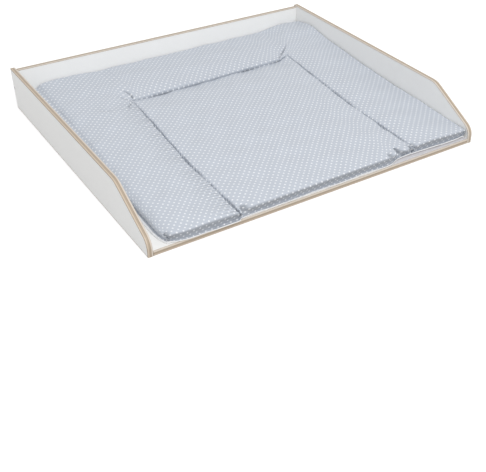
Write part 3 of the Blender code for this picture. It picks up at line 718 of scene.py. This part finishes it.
def drawn_together(distance):
    """Shift of a place towards a seam, where the cloth goes down into its groove as a quarter circle."""
    turn = np.clip(distance / GROOVE_CUT, 0.0, 1.0)
    down = GROOVE_ROUND * (1 - np.cos(np.pi / 2 * turn))
    given_back = smooth(distance, GROOVE_CUT, GROOVE_CUT + GROOVE_REACH)
    level = distance - (GROOVE_CUT - GROOVE_ROUND) * (1 - given_back)
    return distance - np.where(turn < 1, down, level)


def front_line(x):
    """How far back the mat's front edge lies at x: forward at the left border, back at the right one."""
    return sum(shift * smooth(x, *places) for shift, places in FRONT_SHIFTS)


def laid_down(x, y, full=1.0):
    """Where a place of the flat cut lies in the tray. full is the share of the edges' overhang.

    The edges turn over, the grooves draw the cloth together, the sides draw in between the corners, the
    front corners are rounded, the front edge wanders, and the seams lean to the right at the rear.
    """
    across = 2 * (x - (MAT_LEFT + MAT_RIGHT) / 2) / (MAT_RIGHT - MAT_LEFT)
    along = 2 * (y - (MAT_FRONT + MAT_REAR) / 2) / (MAT_REAR - MAT_FRONT)
    near_x = np.clip(1 - np.minimum(x - MAT_LEFT, MAT_RIGHT - x) / EDGE_REACH, 0.0, 1.0) ** 2
    near_y = np.clip(1 - np.minimum(y - MAT_FRONT, MAT_REAR - y) / EDGE_REACH, 0.0, 1.0) ** 2
    corner = CORNER_DRAW * np.where((along < 0) & (across < 0), LEFT_FRONT_DRAW, 1.0)
    corner = corner * np.where((along > 0) & (across > 0), RIGHT_REAR_DRAW, 1.0)
    draw_x = np.sign(across) * near_x * (SIDE_DRAW * (1 - along**2) + corner * near_y)
    draw_y = np.sign(along) * near_y * (SIDE_DRAW * (1 - across**2) + corner * near_x)
    forward = np.clip((REAR_SEAM - y) / (REAR_SEAM - MAT_FRONT), 0.0, 1.0)
    skew = np.interp(y, (MAT_FRONT, REAR_SEAM, MAT_REAR), (0.0, REAR_SEAM_SKEW, 0.0)) * (across + 1) / 2
    lean = SEAM_LEAN * np.clip(1 - (REAR_SEAM - y) / SEAM_LEAN_RUN, 0.0, 1.0)
    lean = lean * np.interp(x, (MAT_LEFT, LEFT_SEAM, RIGHT_SEAM, MAT_RIGHT), (0.0, 1.0, 1.0, 0.0))
    flare = FLARE * smooth(-y, *FLARE_PLACES) * near_x * (across < 0)
    to_rear = smooth(y, *LEFT_OVERHANG_PLACES)
    left_overhang = LEFT_OVERHANG_FRONT + (LEFT_OVERHANG_REAR - LEFT_OVERHANG_FRONT) * to_rear
    turn_x = turned_in(MAT_RIGHT - TUCKED_HEM - x, full * WALL_OVERHANG)
    turn_x = turn_x - turned_in(x - MAT_LEFT - HEM, full * left_overhang)
    turn_y = turned_in(MAT_REAR - TUCKED_HEM - y, full * WALL_OVERHANG)
    turn_y = turn_y - turned_in(y - MAT_FRONT - HEM, full * FRONT_OVERHANG)
    together_x = 0.0
    for seam in (LEFT_SEAM, RIGHT_SEAM):
        together_x = together_x + np.sign(x - seam) * drawn_together(abs(x - seam))
    together_x = together_x * (1 - smooth(y, *SIDE_SEAM_END))
    lip = REAR_LIP * bulge(y - REAR_SEAM, 0.0, REAR_LIP_REACH)
    together_y = np.sign(y - REAR_SEAM) * drawn_together(abs(y - REAR_SEAM)) + full * lip
    together_y = together_y * between(x, *REAR_SEAM_ENDS)
    return (
        x - draw_x + lean - flare + turn_x - together_x,
        y - draw_y + skew + front_line(x) * forward + turn_y - together_y,
    )


def hem_lift(x, y):
    """How far the front rim curls up off the base board at a place of the flat cut."""
    ripple = sum(0.5 * np.sin(x / run + phase) for run, phase in HEM_WAVES)
    rim = HEM_LIFT + HEM_RIPPLE * ripple + sum(lift * smooth(x, *places) for lift, places in HEM_LIFTS)
    return rim * np.clip(1 - (y - MAT_FRONT) / HEM_LIFT_REACH, 0.0, 1.0) ** 2


def doubled(grid):
    """The grid with a new line between each pair both ways, at (9 (b + c) - a - d) / 16 of four lines."""
    for axis in (0, 1):
        grid = np.moveaxis(grid, axis, 0)
        padded = np.concatenate([2 * grid[:1] - grid[1:2], grid, 2 * grid[-1:] - grid[-2:-1]])
        midway = (9 * (padded[1:-2] + padded[2:-1]) - padded[:-3] - padded[3:]) / 16
        finer = np.empty((2 * len(grid) - 1, *grid.shape[1:]))
        finer[::2] = grid
        finer[1::2] = midway
        grid = np.moveaxis(finer, 0, axis)
    return grid


def grid_normals(grid):
    """Unit normals of a grid of points, from its two gradients."""
    normal = np.cross(np.gradient(grid, axis=0), np.gradient(grid, axis=1))
    return normal / np.maximum(np.linalg.norm(normal, axis=-1, keepdims=True), 1e-9)


def lowest_near(height, reach):
    """The least height of a grid within reach lines both ways of each place."""
    padded = np.pad(height, reach, mode="edge")
    rows, columns = height.shape
    shifts = range(2 * reach + 1)
    return np.min([padded[i : i + rows, j : j + columns] for i in shifts for j in shifts], axis=0)


def rim_loop(rows, columns):
    """Numbers of a grid's outer points in order round it."""
    number = np.arange(rows * columns).reshape(rows, columns)
    return np.concatenate([number[:, 0], number[-1, 1:], number[-2::-1, -1], number[0, -2:0:-1]])


CLOTH_STEPS = 20
CLOTH_SETTINGS = {
    "quality": 5,
    "mass": 0.3,
    "tension_stiffness": 15.0,
    "compression_stiffness": 10.0,
    "shear_stiffness": 5.0,
    "bending_stiffness": 0.15,
    "vertex_group_mass": "held",
    "pin_stiffness": 1.0,
    "vertex_group_shrink": "growth",
    "shrink_min": 0.0,
    "shrink_max": -0.06,
    "use_pressure": True,
    "uniform_pressure_force": 3.0,
}


def filled_by_cloth(points, held, growth):
    """The grid of points after cloth simulation swells it. held is how firmly each point stays, 1 fixed.

    The cloth is closed underneath by a fan, air pressure fills it, and growth lengthens it in places.
    """
    rows, columns = points.shape[:2]
    rim = rim_loop(rows, columns)
    middle = np.append(points.reshape(-1, 3)[rim].mean(axis=0)[:2], FILLING_FLOOR)
    fan = np.stack([rim, np.full_like(rim, rows * columns), np.roll(rim, -1)], axis=1)
    everything = np.concatenate([points.reshape(-1, 3), middle[None]])
    cloth_piece = new_piece("cloth", everything, [grid_faces(rows, columns), fan], bpy.data.materials[0])
    for group, values, at_middle in (("held", held, 1.0), ("growth", growth, 0.0)):
        weights = cloth_piece.vertex_groups.new(name=group)
        values = np.append(values.ravel(), at_middle).round(2)
        for level in np.unique(values[values > 0]):
            weights.add(np.flatnonzero(values == level).tolist(), float(level), "REPLACE")
    modifier = cloth_piece.modifiers.new("cloth", "CLOTH")
    for setting, value in CLOTH_SETTINGS.items():
        setattr(modifier.settings, setting, value)
    modifier.settings.effector_weights.gravity = 0.0
    modifier.collision_settings.use_collision = False
    scene = bpy.context.scene
    for step in range(1, CLOTH_STEPS + 1):
        scene.frame_set(step)
    evaluated = cloth_piece.evaluated_get(bpy.context.evaluated_depsgraph_get())
    settled = np.empty(len(everything) * 3)
    evaluated.data.vertices.foreach_get("co", settled)
    mesh = cloth_piece.data
    bpy.data.objects.remove(cloth_piece)
    bpy.data.meshes.remove(mesh)
    scene.frame_set(1)
    return settled.reshape(-1, 3)[:-1].reshape(points.shape)


def beside(distance, before, behind):
    """1 beside a seam, 0 on it, fading as exp(-(distance / reach)^2) with a reach on either side."""
    reach = np.where(distance < 0, before, behind)
    return np.exp(-((distance / reach) ** 2)) - np.exp(-((distance / SEAM_CLEAR) ** 2))


def pucker_shares(x, y):
    """How strongly a place of the cut is puckered by the two side seams, and by the rear seam."""
    right = RIGHT_PUCKER_SHARE * beside(x - RIGHT_SEAM, *RIGHT_PUCKERS)
    side = np.maximum(beside(x - LEFT_SEAM, *LEFT_PUCKERS), right)
    rear = beside(y - REAR_SEAM, *REAR_PUCKERS)
    return (1 - smooth(y, *SIDE_PUCKER_END)) * side, between(x, *REAR_PUCKER_ENDS) * rear


def waves(along):
    """Rounded ridges with narrow valleys along a seam, whose pace wanders."""
    phase = along * 2 * np.pi / PUCKER_STEP + PUCKER_WANDER * np.sin(along * 2 * np.pi / WANDER_STEP)
    return (0.5 + 0.5 * np.sin(phase)) ** 1.5


def lumps(x, y):
    """Broad soft waves of the cover, at most about 3, which fade at the rim."""
    height = 0.0
    for share, step_x, step_y, phase in LUMP_WAVES:
        height = height + share * np.sin(2 * np.pi * (x / step_x + y / step_y) + phase)
    inside = np.minimum(np.minimum(x - MAT_LEFT, MAT_RIGHT - x), np.minimum(y - MAT_FRONT, MAT_REAR - y))
    return height * smooth(inside, HEM, LUMP_REACH)


def line_distance(x, y, places):
    """Distance of each plan place from a line through the given places, and how far along it that lies."""
    nearest = np.full(x.shape, np.inf)
    share = np.zeros(x.shape)
    for number, (start, end) in enumerate(zip(places[:-1], places[1:])):
        run_x, run_y = end[0] - start[0], end[1] - start[1]
        part = np.clip(((x - start[0]) * run_x + (y - start[1]) * run_y) / (run_x**2 + run_y**2), 0.0, 1.0)
        distance = np.hypot(x - start[0] - part * run_x, y - start[1] - part * run_y)
        share = np.where(distance < nearest, (number + part) / (len(places) - 1), share)
        nearest = np.minimum(nearest, distance)
    return nearest, share


def add_wave(finish, uv, waves_per_metre, way, distortion, detail_scale):
    """Wavering waves from 0 to 1. The texture's scale is the waves a metre times pi / 10."""
    scale = waves_per_metre * np.pi / 10
    inputs = [("Vector", uv), ("Scale", scale), ("Distortion", distortion), ("Detail Scale", detail_scale)]
    return add_node(finish, "TexWave", inputs, bands_direction=way).outputs["Fac"]


def dotted_cloth():
    """Grey-blue coated cotton, darkened by painted shade. The dots stand on a square lattice turned by
    DOT_TURN on the cut's own UVs.
    """
    finish = new_finish("dotted_coated_cotton", Specular_IOR_Level=0.4, Coat_Weight=0.15, Coat_Roughness=0.35)
    uv = add_node(finish, "UVMap", uv_map="cut").outputs[0]
    turn = ("Rotation", (0.0, 0.0, DOT_TURN))
    lattice = add_node(finish, "Mapping", [(0, uv), turn, ("Scale", [1 / DOT_SPACING] * 3)])
    cell = add_node(finish, "VectorMath", [(0, lattice.outputs[0])], operation="FRACTION").outputs[0]
    flat = add_node(finish, "VectorMath", [(0, cell), (1, (1.0, 1.0, 0.0))], operation="MULTIPLY").outputs[0]
    middle = [(0, flat), (1, (0.5, 0.5, 0.0))]
    distance = add_node(finish, "VectorMath", middle, operation="DISTANCE").outputs["Value"]
    ragged = add_noise(finish, uv, RAGS_PER_METRE)
    distance = uneven(finish, ragged, spread=DOT_RAGS, least=distance)
    edge = DOT_RADIUS / DOT_SPACING + DOT_RAGS / 2
    dot = add_range(finish, distance, edge + DOT_SOFT_EDGE, edge - DOT_SOFT_EDGE, curve="SMOOTHSTEP")
    threads = []
    for way in ("X", "Y"):
        threads.append(add_wave(finish, uv, THREADS_PER_METRE / 2, way, distortion=1.2, detail_scale=2.0))
    weave = add_math(finish, "MULTIPLY", *threads)
    clouds = add_noise(finish, uv, CLOUDS_PER_METRE, detail=3.0)
    ground = add_mix(finish, clouds, *([c * tone for c in GROUND_COLOUR] for tone in CLOUD_TONES))
    woven = add_mix(finish, add_math(finish, "MULTIPLY", weave, THREAD_TINT), ground, DOT_COLOUR)
    dotted = add_mix(finish, dot, woven, DOT_COLOUR)
    # Painted shade: the furrows of the puckers darken the colour as well as sink the bump.
    furrow = 0.0
    for share, way in (("side_puckers", "Y"), ("rear_puckers", "X")):
        wave = add_wave(finish, uv, 1 / FURROW_STEP, way, distortion=3.5, detail_scale=0.45)
        share = add_node(finish, "Attribute", attribute_name=share).outputs["Fac"]
        furrow = uneven(finish, add_math(finish, "POWER", wave, FURROW_POWER), share, furrow)
    # Painted shade from the points, at the seams, dents, creases and walls under the edges, joins the
    # furrows' painted shade; the dots take less of it.
    sewn = add_node(finish, "Attribute", attribute_name="sewn").outputs["Fac"]
    sewn = add_math(finish, "MAXIMUM", sewn, add_math(finish, "MULTIPLY", furrow, FURROW_SHADE))
    dot_shade = add_math(finish, "MULTIPLY", sewn, uneven(finish, dot, spread=-DOT_SHADE_LOSS, least=1.0))
    colour = add_mix(finish, dot_shade, dotted, [SEAM_SHADE] * 3, blend="MULTIPLY")
    roughness = uneven(finish, clouds, spread=0.12, least=0.42)
    sunk = add_node(finish, "Bump", [("Distance", -FURROW_DEPTH), ("Height", furrow)]).outputs["Normal"]
    return link_shader(finish, colour, roughness, weave, strength=0.12, distance=0.0002, normal=sunk)


top_of_turn = HEM + TURN_TOP_SHARE * TURN_CUT
columns_x = graded_lines(
    (
        MAT_LEFT,
        MAT_LEFT + HEM,
        MAT_LEFT + top_of_turn,
        LEFT_SEAM,
        RUFFLE_PLACE,
        RIGHT_SEAM,
        MAT_RIGHT - TUCKED_HEM,
        MAT_RIGHT,
    ),
    COARSE_STEP, FINE_STEP, FINE_REACH,
)
rows_y = graded_lines(
    (MAT_FRONT, MAT_FRONT + HEM, MAT_FRONT + top_of_turn, REAR_SEAM, MAT_REAR - TUCKED_HEM, MAT_REAR),
    COARSE_STEP, FINE_STEP, FINE_REACH,
)
cut_x, cut_y = np.meshgrid(columns_x, rows_y, indexing="ij")
flat_x, flat_y = laid_down(cut_x, cut_y)
from_front = cut_y - MAT_FRONT - HEM
dent_share = between(from_front, *DENT_ENDS)
# dent_shade is each inward dent's strength: it lowers the top, and it is also painted into the colour as
# shade.
dent_shade, dent_shift = np.zeros(cut_x.shape), np.zeros(cut_x.shape)
for place, back, width in FRONT_DENTS:
    dent = dent_share * np.exp(-(((cut_x - place) / width) ** 2))
    dent_shift += back * dent
    dent_shade = np.maximum(dent_shade, dent * (back > 0))
flat_y = flat_y + dent_shift
top_height = cushion_height(cut_x, cut_y) * (1 - DENT_LOSS * dent_shade)
start = np.stack([flat_x, flat_y, FILLING_FLOOR + SHEET + top_height], axis=-1)

inside = np.minimum(
    np.minimum(cut_x - MAT_LEFT - HEM, MAT_RIGHT - TUCKED_HEM - cut_x),
    np.minimum(cut_y - MAT_FRONT - HEM, MAT_REAR - TUCKED_HEM - cut_y),
)
from_seam = np.minimum(side_seam_distance(cut_x, cut_y), rear_seam_distance(cut_x, cut_y))
held = np.where(inside < TURN_CUT, HELD_IN_TURN, HELD_ON_TOP)
held = np.where(np.minimum(inside, from_seam) < ON_A_LINE, 1.0, held)
growth = np.clip(1 - from_seam / GROWTH_REACH, LEAST_GROWTH, 1.0)
growth += np.clip(1 - inside / EDGE_GROWTH_REACH, 0.0, 1.0)
settled = start
settled = filled_by_cloth(start, held, np.clip(growth, 0.0, 1.0))
moved = settled - start
travel = np.linalg.norm(moved, axis=-1, keepdims=True)
settled = start + moved * np.minimum(1.0, SWELL_CAP / np.maximum(travel, 1e-9))
arc_x = np.linalg.norm(np.diff(start, axis=0), axis=-1).mean(axis=1)
arc_y = np.linalg.norm(np.diff(start, axis=1), axis=-1).mean(axis=0)
cut_u = np.broadcast_to(np.append(0.0, np.cumsum(arc_x))[:, None], cut_x.shape)
cut_v = np.broadcast_to(np.append(0.0, np.cumsum(arc_y))[None, :], cut_x.shape)
fine = np.stack([*np.moveaxis(settled, -1, 0), cut_x, cut_y, cut_u, cut_v, dent_shade], axis=-1)
fine = doubled(fine)
cover, fine_x, fine_y, fine_uv = fine[..., :3], fine[..., 3], fine[..., 4], fine[..., 5:7]
side_share, rear_share = pucker_shares(fine_x, fine_y)
pucker = side_share * waves(fine_y) + REAR_PUCKER_SHARE * rear_share * waves(fine_x)
stand_out = LUMP_HEIGHT * lumps(fine_x, fine_y) - PUCKER_DEPTH * pucker
from_side, from_rear = side_seam_distance(fine_x, fine_y), rear_seam_distance(fine_x, fine_y)
# Painted shade along the seams: a thin line at the side seams and a wider band behind the rear seam, fading
# near the rear corners.
rear_reach = np.where(fine_y < REAR_SEAM, SIDE_SHADE_REACH, REAR_SHADE_REACH)
side_line = SIDE_SHADE - SIDE_SHADE_LOSS * smooth(fine_y, *SIDE_SHADE_END)
side_line = side_line * np.exp(-((from_side / SIDE_SHADE_REACH) ** 2))
rear_line = REAR_SHADE - REAR_SHADE_LOSS * smooth(fine_x, *REAR_SHADE_END)
rear_line = rear_line * np.exp(-((from_rear / rear_reach) ** 2))
shade = np.maximum(side_line, rear_line)
# Painted shade in the dents of the front edge.
shade = np.maximum(shade, fine[..., 7])
# Painted shade on the walls under the front edge and, towards the front, under the left edge, darkest just
# under the top of the turn.
for inwards, strength, top in (
    (fine_y - MAT_FRONT, FRONT_SHADE, FRONT_SHADE_TOP),
    (fine_x - MAT_LEFT, LEFT_SHADE * smooth(-fine_y, *LEFT_SHADE_START), LEFT_SHADE_TOP),
):
    up_the_turn = (inwards - HEM) / TURN_CUT
    under_edge = HEM_SHADE + TURN_SHADE * smooth(up_the_turn, *TURN_SHADE_RISE)
    under_edge = under_edge * (1 - smooth(up_the_turn, top, top + SHADE_FADE))
    shade = np.maximum(shade, strength * under_edge)
for depth, width, places in CREASES:
    distance, share = line_distance(cover[..., 0], cover[..., 1], places)
    fold = np.exp(-((distance / width) ** 2)) * between(share, *CREASE_ENDS)
    stand_out -= depth * fold
    # Painted shade along the crease's fold.
    shade = np.maximum(shade, depth / CREASE_SHADE_DEPTH * fold)
cover += grid_normals(cover) * stand_out[..., None]
cover[..., 2] += hem_lift(fine_x, fine_y)
cover[..., 0] = np.minimum(cover[..., 0], WALL_X)
cover[..., 1] = np.minimum(cover[..., 1], WALL_Y)
cover[..., 2] = np.maximum(cover[..., 2], FILLING_FLOOR + SHEET)

inner = cover[::2, ::2] - SHEET * grid_normals(cover)[::2, ::2]
on_top = inside > TURN_CUT
lowest = np.where(on_top, lowest_near(cover[..., 2], 1)[::2, ::2] - SHEET, inner[..., 2])
limits = np.stack([np.full_like(lowest, WALL_X), np.full_like(lowest, WALL_Y), lowest], axis=-1)
inner = np.minimum(inner, limits)
inner[..., 2] = np.maximum(inner[..., 2], FILLING_FLOOR)
cover_rows, cover_columns = cover.shape[:2]
inner_rows, inner_columns = inner.shape[:2]
inner_first = cover_rows * cover_columns
outer_rim = rim_loop(cover_rows, cover_columns)
inner_rim = inner_first + rim_loop(inner_rows, inner_columns)
first, second, third = outer_rim[::2], outer_rim[1::2], np.roll(outer_rim[::2], -1)
inner_next = np.roll(inner_rim, -1)
rim_faces = np.concatenate([
    np.stack([first, inner_rim, second], axis=1),
    np.stack([second, inner_rim, inner_next], axis=1),
    np.stack([second, inner_next, third], axis=1),
])
points = np.concatenate([cover.reshape(-1, 3), inner.reshape(-1, 3)])
uv = np.concatenate([fine_uv.reshape(-1, 2), fine_uv[::2, ::2].reshape(-1, 2)])
upper_faces = grid_faces(cover_rows, cover_columns)
lower_faces = grid_faces(inner_rows, inner_columns, first=inner_first)[:, ::-1]
upper_cover = new_piece(
    "mat_upper_cover", points, [upper_faces, lower_faces, rim_faces], dotted_cloth(), uv, smooth_under=75.0
)
# The painted shade and the pucker shares are stored on the points for the material.
for name, values in (("sewn", shade), ("side_puckers", side_share), ("rear_puckers", rear_share)):
    layer = upper_cover.data.attributes.new(name, "FLOAT", "POINT")
    both_sides = np.concatenate([values.ravel(), values[::2, ::2].ravel()])
    layer.data.foreach_set("value", both_sides.astype(np.float32))
belongs(upper_cover, "mat", "dotted_cloth", "mat_top_cover")


# The mat's lower sheet is plain white coated film, a little larger than the upper one, so its glossy edge
# shows in front of the dotted hem. It lies on the base board, and its front edge curls up in small waves.
FILM_PROUD, FILM_PROUD_LEFT, FILM_OVER_EDGE, FILM_CURL = 0.0030, 0.0022, 0.0092, 0.0022
FILM = 0.0006
FILM_FLOOR = 0.0123
FILM_WHITE, FILM_SHADE = (0.92, 0.92, 0.93), 0.96
EMBOSS_PER_METRE, FILM_CLOUDS_PER_METRE = 900.0, 15.0
FILM_EDGE, FILM_WAVE = 0.0035, 0.023
FILM_LEFT_PLACES, FILM_FRONT_PLACES = (0.37, 0.39), (0.1, -0.2)
CURL_PLACES, CURL_REACH = (-0.2, -0.36), 0.0012


def white_film():
    """Glossy white coated film with a faint leathery emboss."""
    finish = new_finish("white_coated_film", Specular_IOR_Level=0.5, Coat_Weight=0.3, Coat_Roughness=0.15)
    place = add_node(finish, "TexCoord").outputs["Object"]
    cells = [("Vector", place), ("Scale", EMBOSS_PER_METRE)]
    emboss = add_node(finish, "TexVoronoi", cells).outputs["Distance"]
    clouds = add_noise(finish, place, FILM_CLOUDS_PER_METRE)
    colour = add_mix(finish, clouds, FILM_WHITE, [c * FILM_SHADE for c in FILM_WHITE])
    roughness = uneven(finish, clouds, spread=0.15, least=0.22)
    return link_shader(finish, colour, roughness, emboss, strength=0.15, distance=0.0002)


rim_cut = np.stack([cut_x, cut_y], axis=-1).reshape(-1, 2)[rim_loop(*cut_x.shape)]
rim_flat = np.stack([flat_x, flat_y], axis=-1).reshape(-1, 2)[rim_loop(*cut_x.shape)]
ahead = np.roll(rim_flat, -1, axis=0) - np.roll(rim_flat, 1, axis=0)
outward = np.stack([ahead[:, 1], -ahead[:, 0]], axis=1)
outward /= np.linalg.norm(outward, axis=1, keepdims=True)
inner_steps = np.array([0.0, 0.0006, 0.0013, 0.0022, FILM_EDGE, 0.0065, 0.0110, 0.0170, 0.0250, 0.0340])
proud = FILM_PROUD * (0.70 + 0.30 * np.sin(rim_cut[:, 0] / FILM_WAVE))
proud += FILM_PROUD_LEFT * smooth(-rim_cut[:, 0], *FILM_LEFT_PLACES)
proud *= smooth(rim_cut[:, 1], *FILM_FRONT_PLACES)
in_the_edge = np.minimum(inner_steps, FILM_EDGE)[:, None, None]
film_flat = rim_flat[None] + outward[None] * (proud[None, :, None] - in_the_edge)
to_middle = np.maximum(inner_steps - FILM_EDGE, 0.0)[:, None, None] / (MAT_REAR - MAT_FRONT) * 2
film_flat = film_flat + (rim_flat.mean(axis=0) - film_flat) * to_middle
film_flat[..., 0] = np.minimum(film_flat[..., 0], WALL_X)
film_flat[..., 1] = np.clip(film_flat[..., 1], -TRAY_HALF_DEPTH - FILM_OVER_EDGE, WALL_Y)
lift_share = np.clip(1 - inner_steps[:, None] / HEM_LIFT_REACH, 0, 1) ** 2
rise = hem_lift(rim_cut[:, 0], rim_cut[:, 1])[None] * lift_share
curl_share = np.exp(-inner_steps / CURL_REACH)[:, None]
edge_curl = FILM_CURL * smooth(rim_cut[:, 1], *CURL_PLACES)[None] * curl_share
film_top = np.concatenate([film_flat, (FILM_FLOOR + FILM + rise + edge_curl)[..., None]], axis=-1)
film_under = film_top.copy()
film_under[..., 2] -= FILM + 0.7 * edge_curl + 0.1 * rise
ring_size = len(rim_cut)
middles = np.array([(*rim_flat.mean(axis=0), height) for height in (FILM_FLOOR, FILM_FLOOR + FILM)])
points = np.concatenate([film_under[::-1].reshape(-1, 3), film_top.reshape(-1, 3), middles])
along_rim = np.arange(ring_size)
next_on_rim = np.roll(along_rim, -1)
innermost = len(points) - 2 - ring_size
film_faces = [
    grid_faces(2 * len(inner_steps), ring_size, close_columns=True)[:, ::-1],
    np.stack([next_on_rim, along_rim, np.full(ring_size, len(points) - 2)], axis=1),
    np.stack([innermost + along_rim, innermost + next_on_rim, np.full(ring_size, len(points) - 1)], axis=1),
]
lower_sheet = new_piece("mat_lower_sheet", points, film_faces, white_film())
belongs(lower_sheet, "mat", "plain_cloth", "mat_bottom_cover")


# Four blocks of soft polyester wadding fill the mat: a centre one and three borders, kept apart by the seams.
# Each is cut from lofty felt, so its top follows the cover and its faces are fibrous and uneven.
WADDING_ROOM, WADDING_LEAST, NEAR_LINES = 0.0012, 0.0005, 4
PAST_TURN, TURN_MARGIN = 0.001, 0.003
LOFT, LOFT_WAVES = 0.0003, (0.0043, 0.0051, 0.009)
WADDING_STRANDS = ((900.0, 160.0, 500.0), (160.0, 900.0, 500.0))
WADDING_TONES = ((0.3, (0.74, 0.74, 0.73)), (0.7, (0.90, 0.90, 0.89)))


def polyester():
    """Matted white fibres: two stretched noises crossing, with a soft sheen."""
    finish = new_finish("polyester_wadding", Roughness=0.95, Sheen_Weight=0.4, Sheen_Roughness=0.5)
    place = add_node(finish, "TexCoord").outputs["Object"]
    strands = []
    for scale in WADDING_STRANDS:
        stretched = add_node(finish, "Mapping", [(0, place), ("Scale", scale)])
        strands.append(add_noise(finish, stretched.outputs[0], 1.0, distortion=1.5))
    fibres = add_math(finish, "MAXIMUM", *strands)
    colour = add_ramp(finish, fibres, WADDING_TONES)
    return link_shader(finish, colour, None, fibres, strength=0.6, distance=0.0006)


left_column = int(np.argmin(abs(columns_x - LEFT_SEAM)))
right_column = int(np.argmin(abs(columns_x - RIGHT_SEAM)))
rear_row = int(np.argmin(abs(rows_y - REAR_SEAM)))
past_turn = top_of_turn + PAST_TURN
first_column, last_column = np.searchsorted(columns_x, (MAT_LEFT + past_turn, MAT_RIGHT - top_of_turn))
first_row, last_row = np.searchsorted(rows_y, (MAT_FRONT + past_turn, MAT_REAR - top_of_turn))
blocks = {
    "left_border_wadding": (first_column, left_column - 1, first_row, rear_row - 2),
    "centre_wadding": (left_column + 2, right_column - 1, first_row, rear_row - 4),
    "right_border_wadding": (right_column + 2, last_column, first_row, rear_row - 2),
    "rear_border_wadding": (first_column, last_column, rear_row + 4, last_row),
}
polyester_finish = polyester()
filling = inner - WADDING_ROOM * grid_normals(inner)
lowest = lowest_near(cover[..., 2], NEAR_LINES)[::2, ::2]
filling[..., 2] = np.minimum(filling[..., 2], lowest - SHEET - WADDING_ROOM)
under_x, under_y = laid_down(cut_x, cut_y, full=0.0)
under_y = under_y + np.maximum(dent_shift, 0.0)
in_the_turn = ((inside < TURN_CUT + TURN_MARGIN) | (abs(cut_y - REAR_SEAM) < GROOVE_CUT))[..., None]
filling[..., :2] = np.where(in_the_turn, np.stack([under_x, under_y], axis=-1), filling[..., :2])
for name, (low_x, high_x, low_y, high_y) in blocks.items():
    top = filling[low_x:high_x, low_y:high_y].copy()
    under = (slice(low_x, high_x), slice(low_y, high_y))
    floor = np.stack([under_x[under], under_y[under], np.full_like(under_x[under], FILLING_FLOOR)], axis=-1)
    top[..., 2] = np.maximum(top[..., 2], FILLING_FLOOR + WADDING_LEAST)
    plan_x, plan_y = top[..., 0], top[..., 1]
    lofty = LOFT * np.sin(plan_x / LOFT_WAVES[0]) * np.sin(plan_y / LOFT_WAVES[1] + plan_x / LOFT_WAVES[2])
    top[..., 2] -= abs(lofty)
    rows, columns = top.shape[:2]
    count = rows * columns
    rim = rim_loop(rows, columns)
    wall = np.stack([rim, count + rim, count + np.roll(rim, -1), np.roll(rim, -1)], axis=1)
    block_faces = [grid_faces(rows, columns), grid_faces(rows, columns, first=count)[:, ::-1], wall]
    points = np.concatenate([top.reshape(-1, 3), floor.reshape(-1, 3)])
    block = new_piece(name + "_piece", points, block_faces, polyester_finish)
    belongs(block, "mat", "wadding", name)


# The studio: a plain white floor that keeps the tray's shadow, one large soft lamp overhead and a pale sky.
# The floor and the sky show white, and the floor fades to pure white away from the tray.
FLOOR_SPAN, FLOOR_HEIGHT = 40.0, -0.0005
FLOOR_LIFT = (0.58, 1.0)
FLOOR_FADE = (0.55, 1.6)
SKY_STRENGTH = 0.73
LAMP_PLACE = (-0.55, -2.60, 2.70)
LAMP_SIZE = 2.3
LAMP_POWER = 71.0


def shown(owner):
    """1 on the rays that show the background: those from the camera, from gloss and through glass."""
    path = add_node(owner, "LightPath").outputs
    both = add_math(owner, "MAXIMUM", path["Is Glossy Ray"], path["Is Transmission Ray"])
    return add_math(owner, "MAXIMUM", path["Is Camera Ray"], both)


floor_finish = new_finish(
    "studio_floor", Base_Color=(0.55, 0.55, 0.55, 1.0), Roughness=0.9, Specular_IOR_Level=0.1,
    Emission_Color=(1.0, 1.0, 1.0, 1.0),
)
place = add_node(floor_finish, "TexCoord").outputs["Object"]
away = add_node(floor_finish, "VectorMath", [(0, place)], operation="LENGTH").outputs["Value"]
lift = add_range(floor_finish, away, *FLOOR_FADE, *FLOOR_LIFT, curve="SMOOTHSTEP")
glow = floor_finish.node_tree.nodes["Principled BSDF"].inputs["Emission Strength"]
floor_finish.node_tree.links.new(add_math(floor_finish, "MULTIPLY", lift, shown(floor_finish)), glow)
floor_points = FLOOR_SPAN / 2 * np.array([(-1, -1, 0), (1, -1, 0), (1, 1, 0), (-1, 1, 0)])
floor_points[:, 2] = FLOOR_HEIGHT
new_piece("studio_floor", floor_points, [np.array([[0, 1, 2, 3]])], floor_finish)

world = bpy.data.worlds.new("sky")
bpy.context.scene.world = world
world.use_nodes = True
background = world.node_tree.nodes["Background"]
background.inputs["Color"].default_value = (1.0, 1.0, 1.0, 1.0)
strength = add_range(world, shown(world), 0.0, 1.0, low=SKY_STRENGTH)
world.node_tree.links.new(strength, background.inputs["Strength"])

lamp_data = bpy.data.lights.new("overhead_lamp", "AREA")
lamp_data.shape = "SQUARE"
lamp_data.size = LAMP_SIZE
lamp_data.energy = LAMP_POWER
lamp_back = np.array(LAMP_PLACE) / np.linalg.norm(LAMP_PLACE)
lamp_right = np.cross((0.0, 1.0, 0.0), lamp_back)
lamp_right /= np.linalg.norm(lamp_right)
stood("overhead_lamp", lamp_data, lamp_right, np.cross(lamp_back, lamp_right), lamp_back, LAMP_PLACE)

bpy.context.scene.view_settings.view_transform = "Standard"
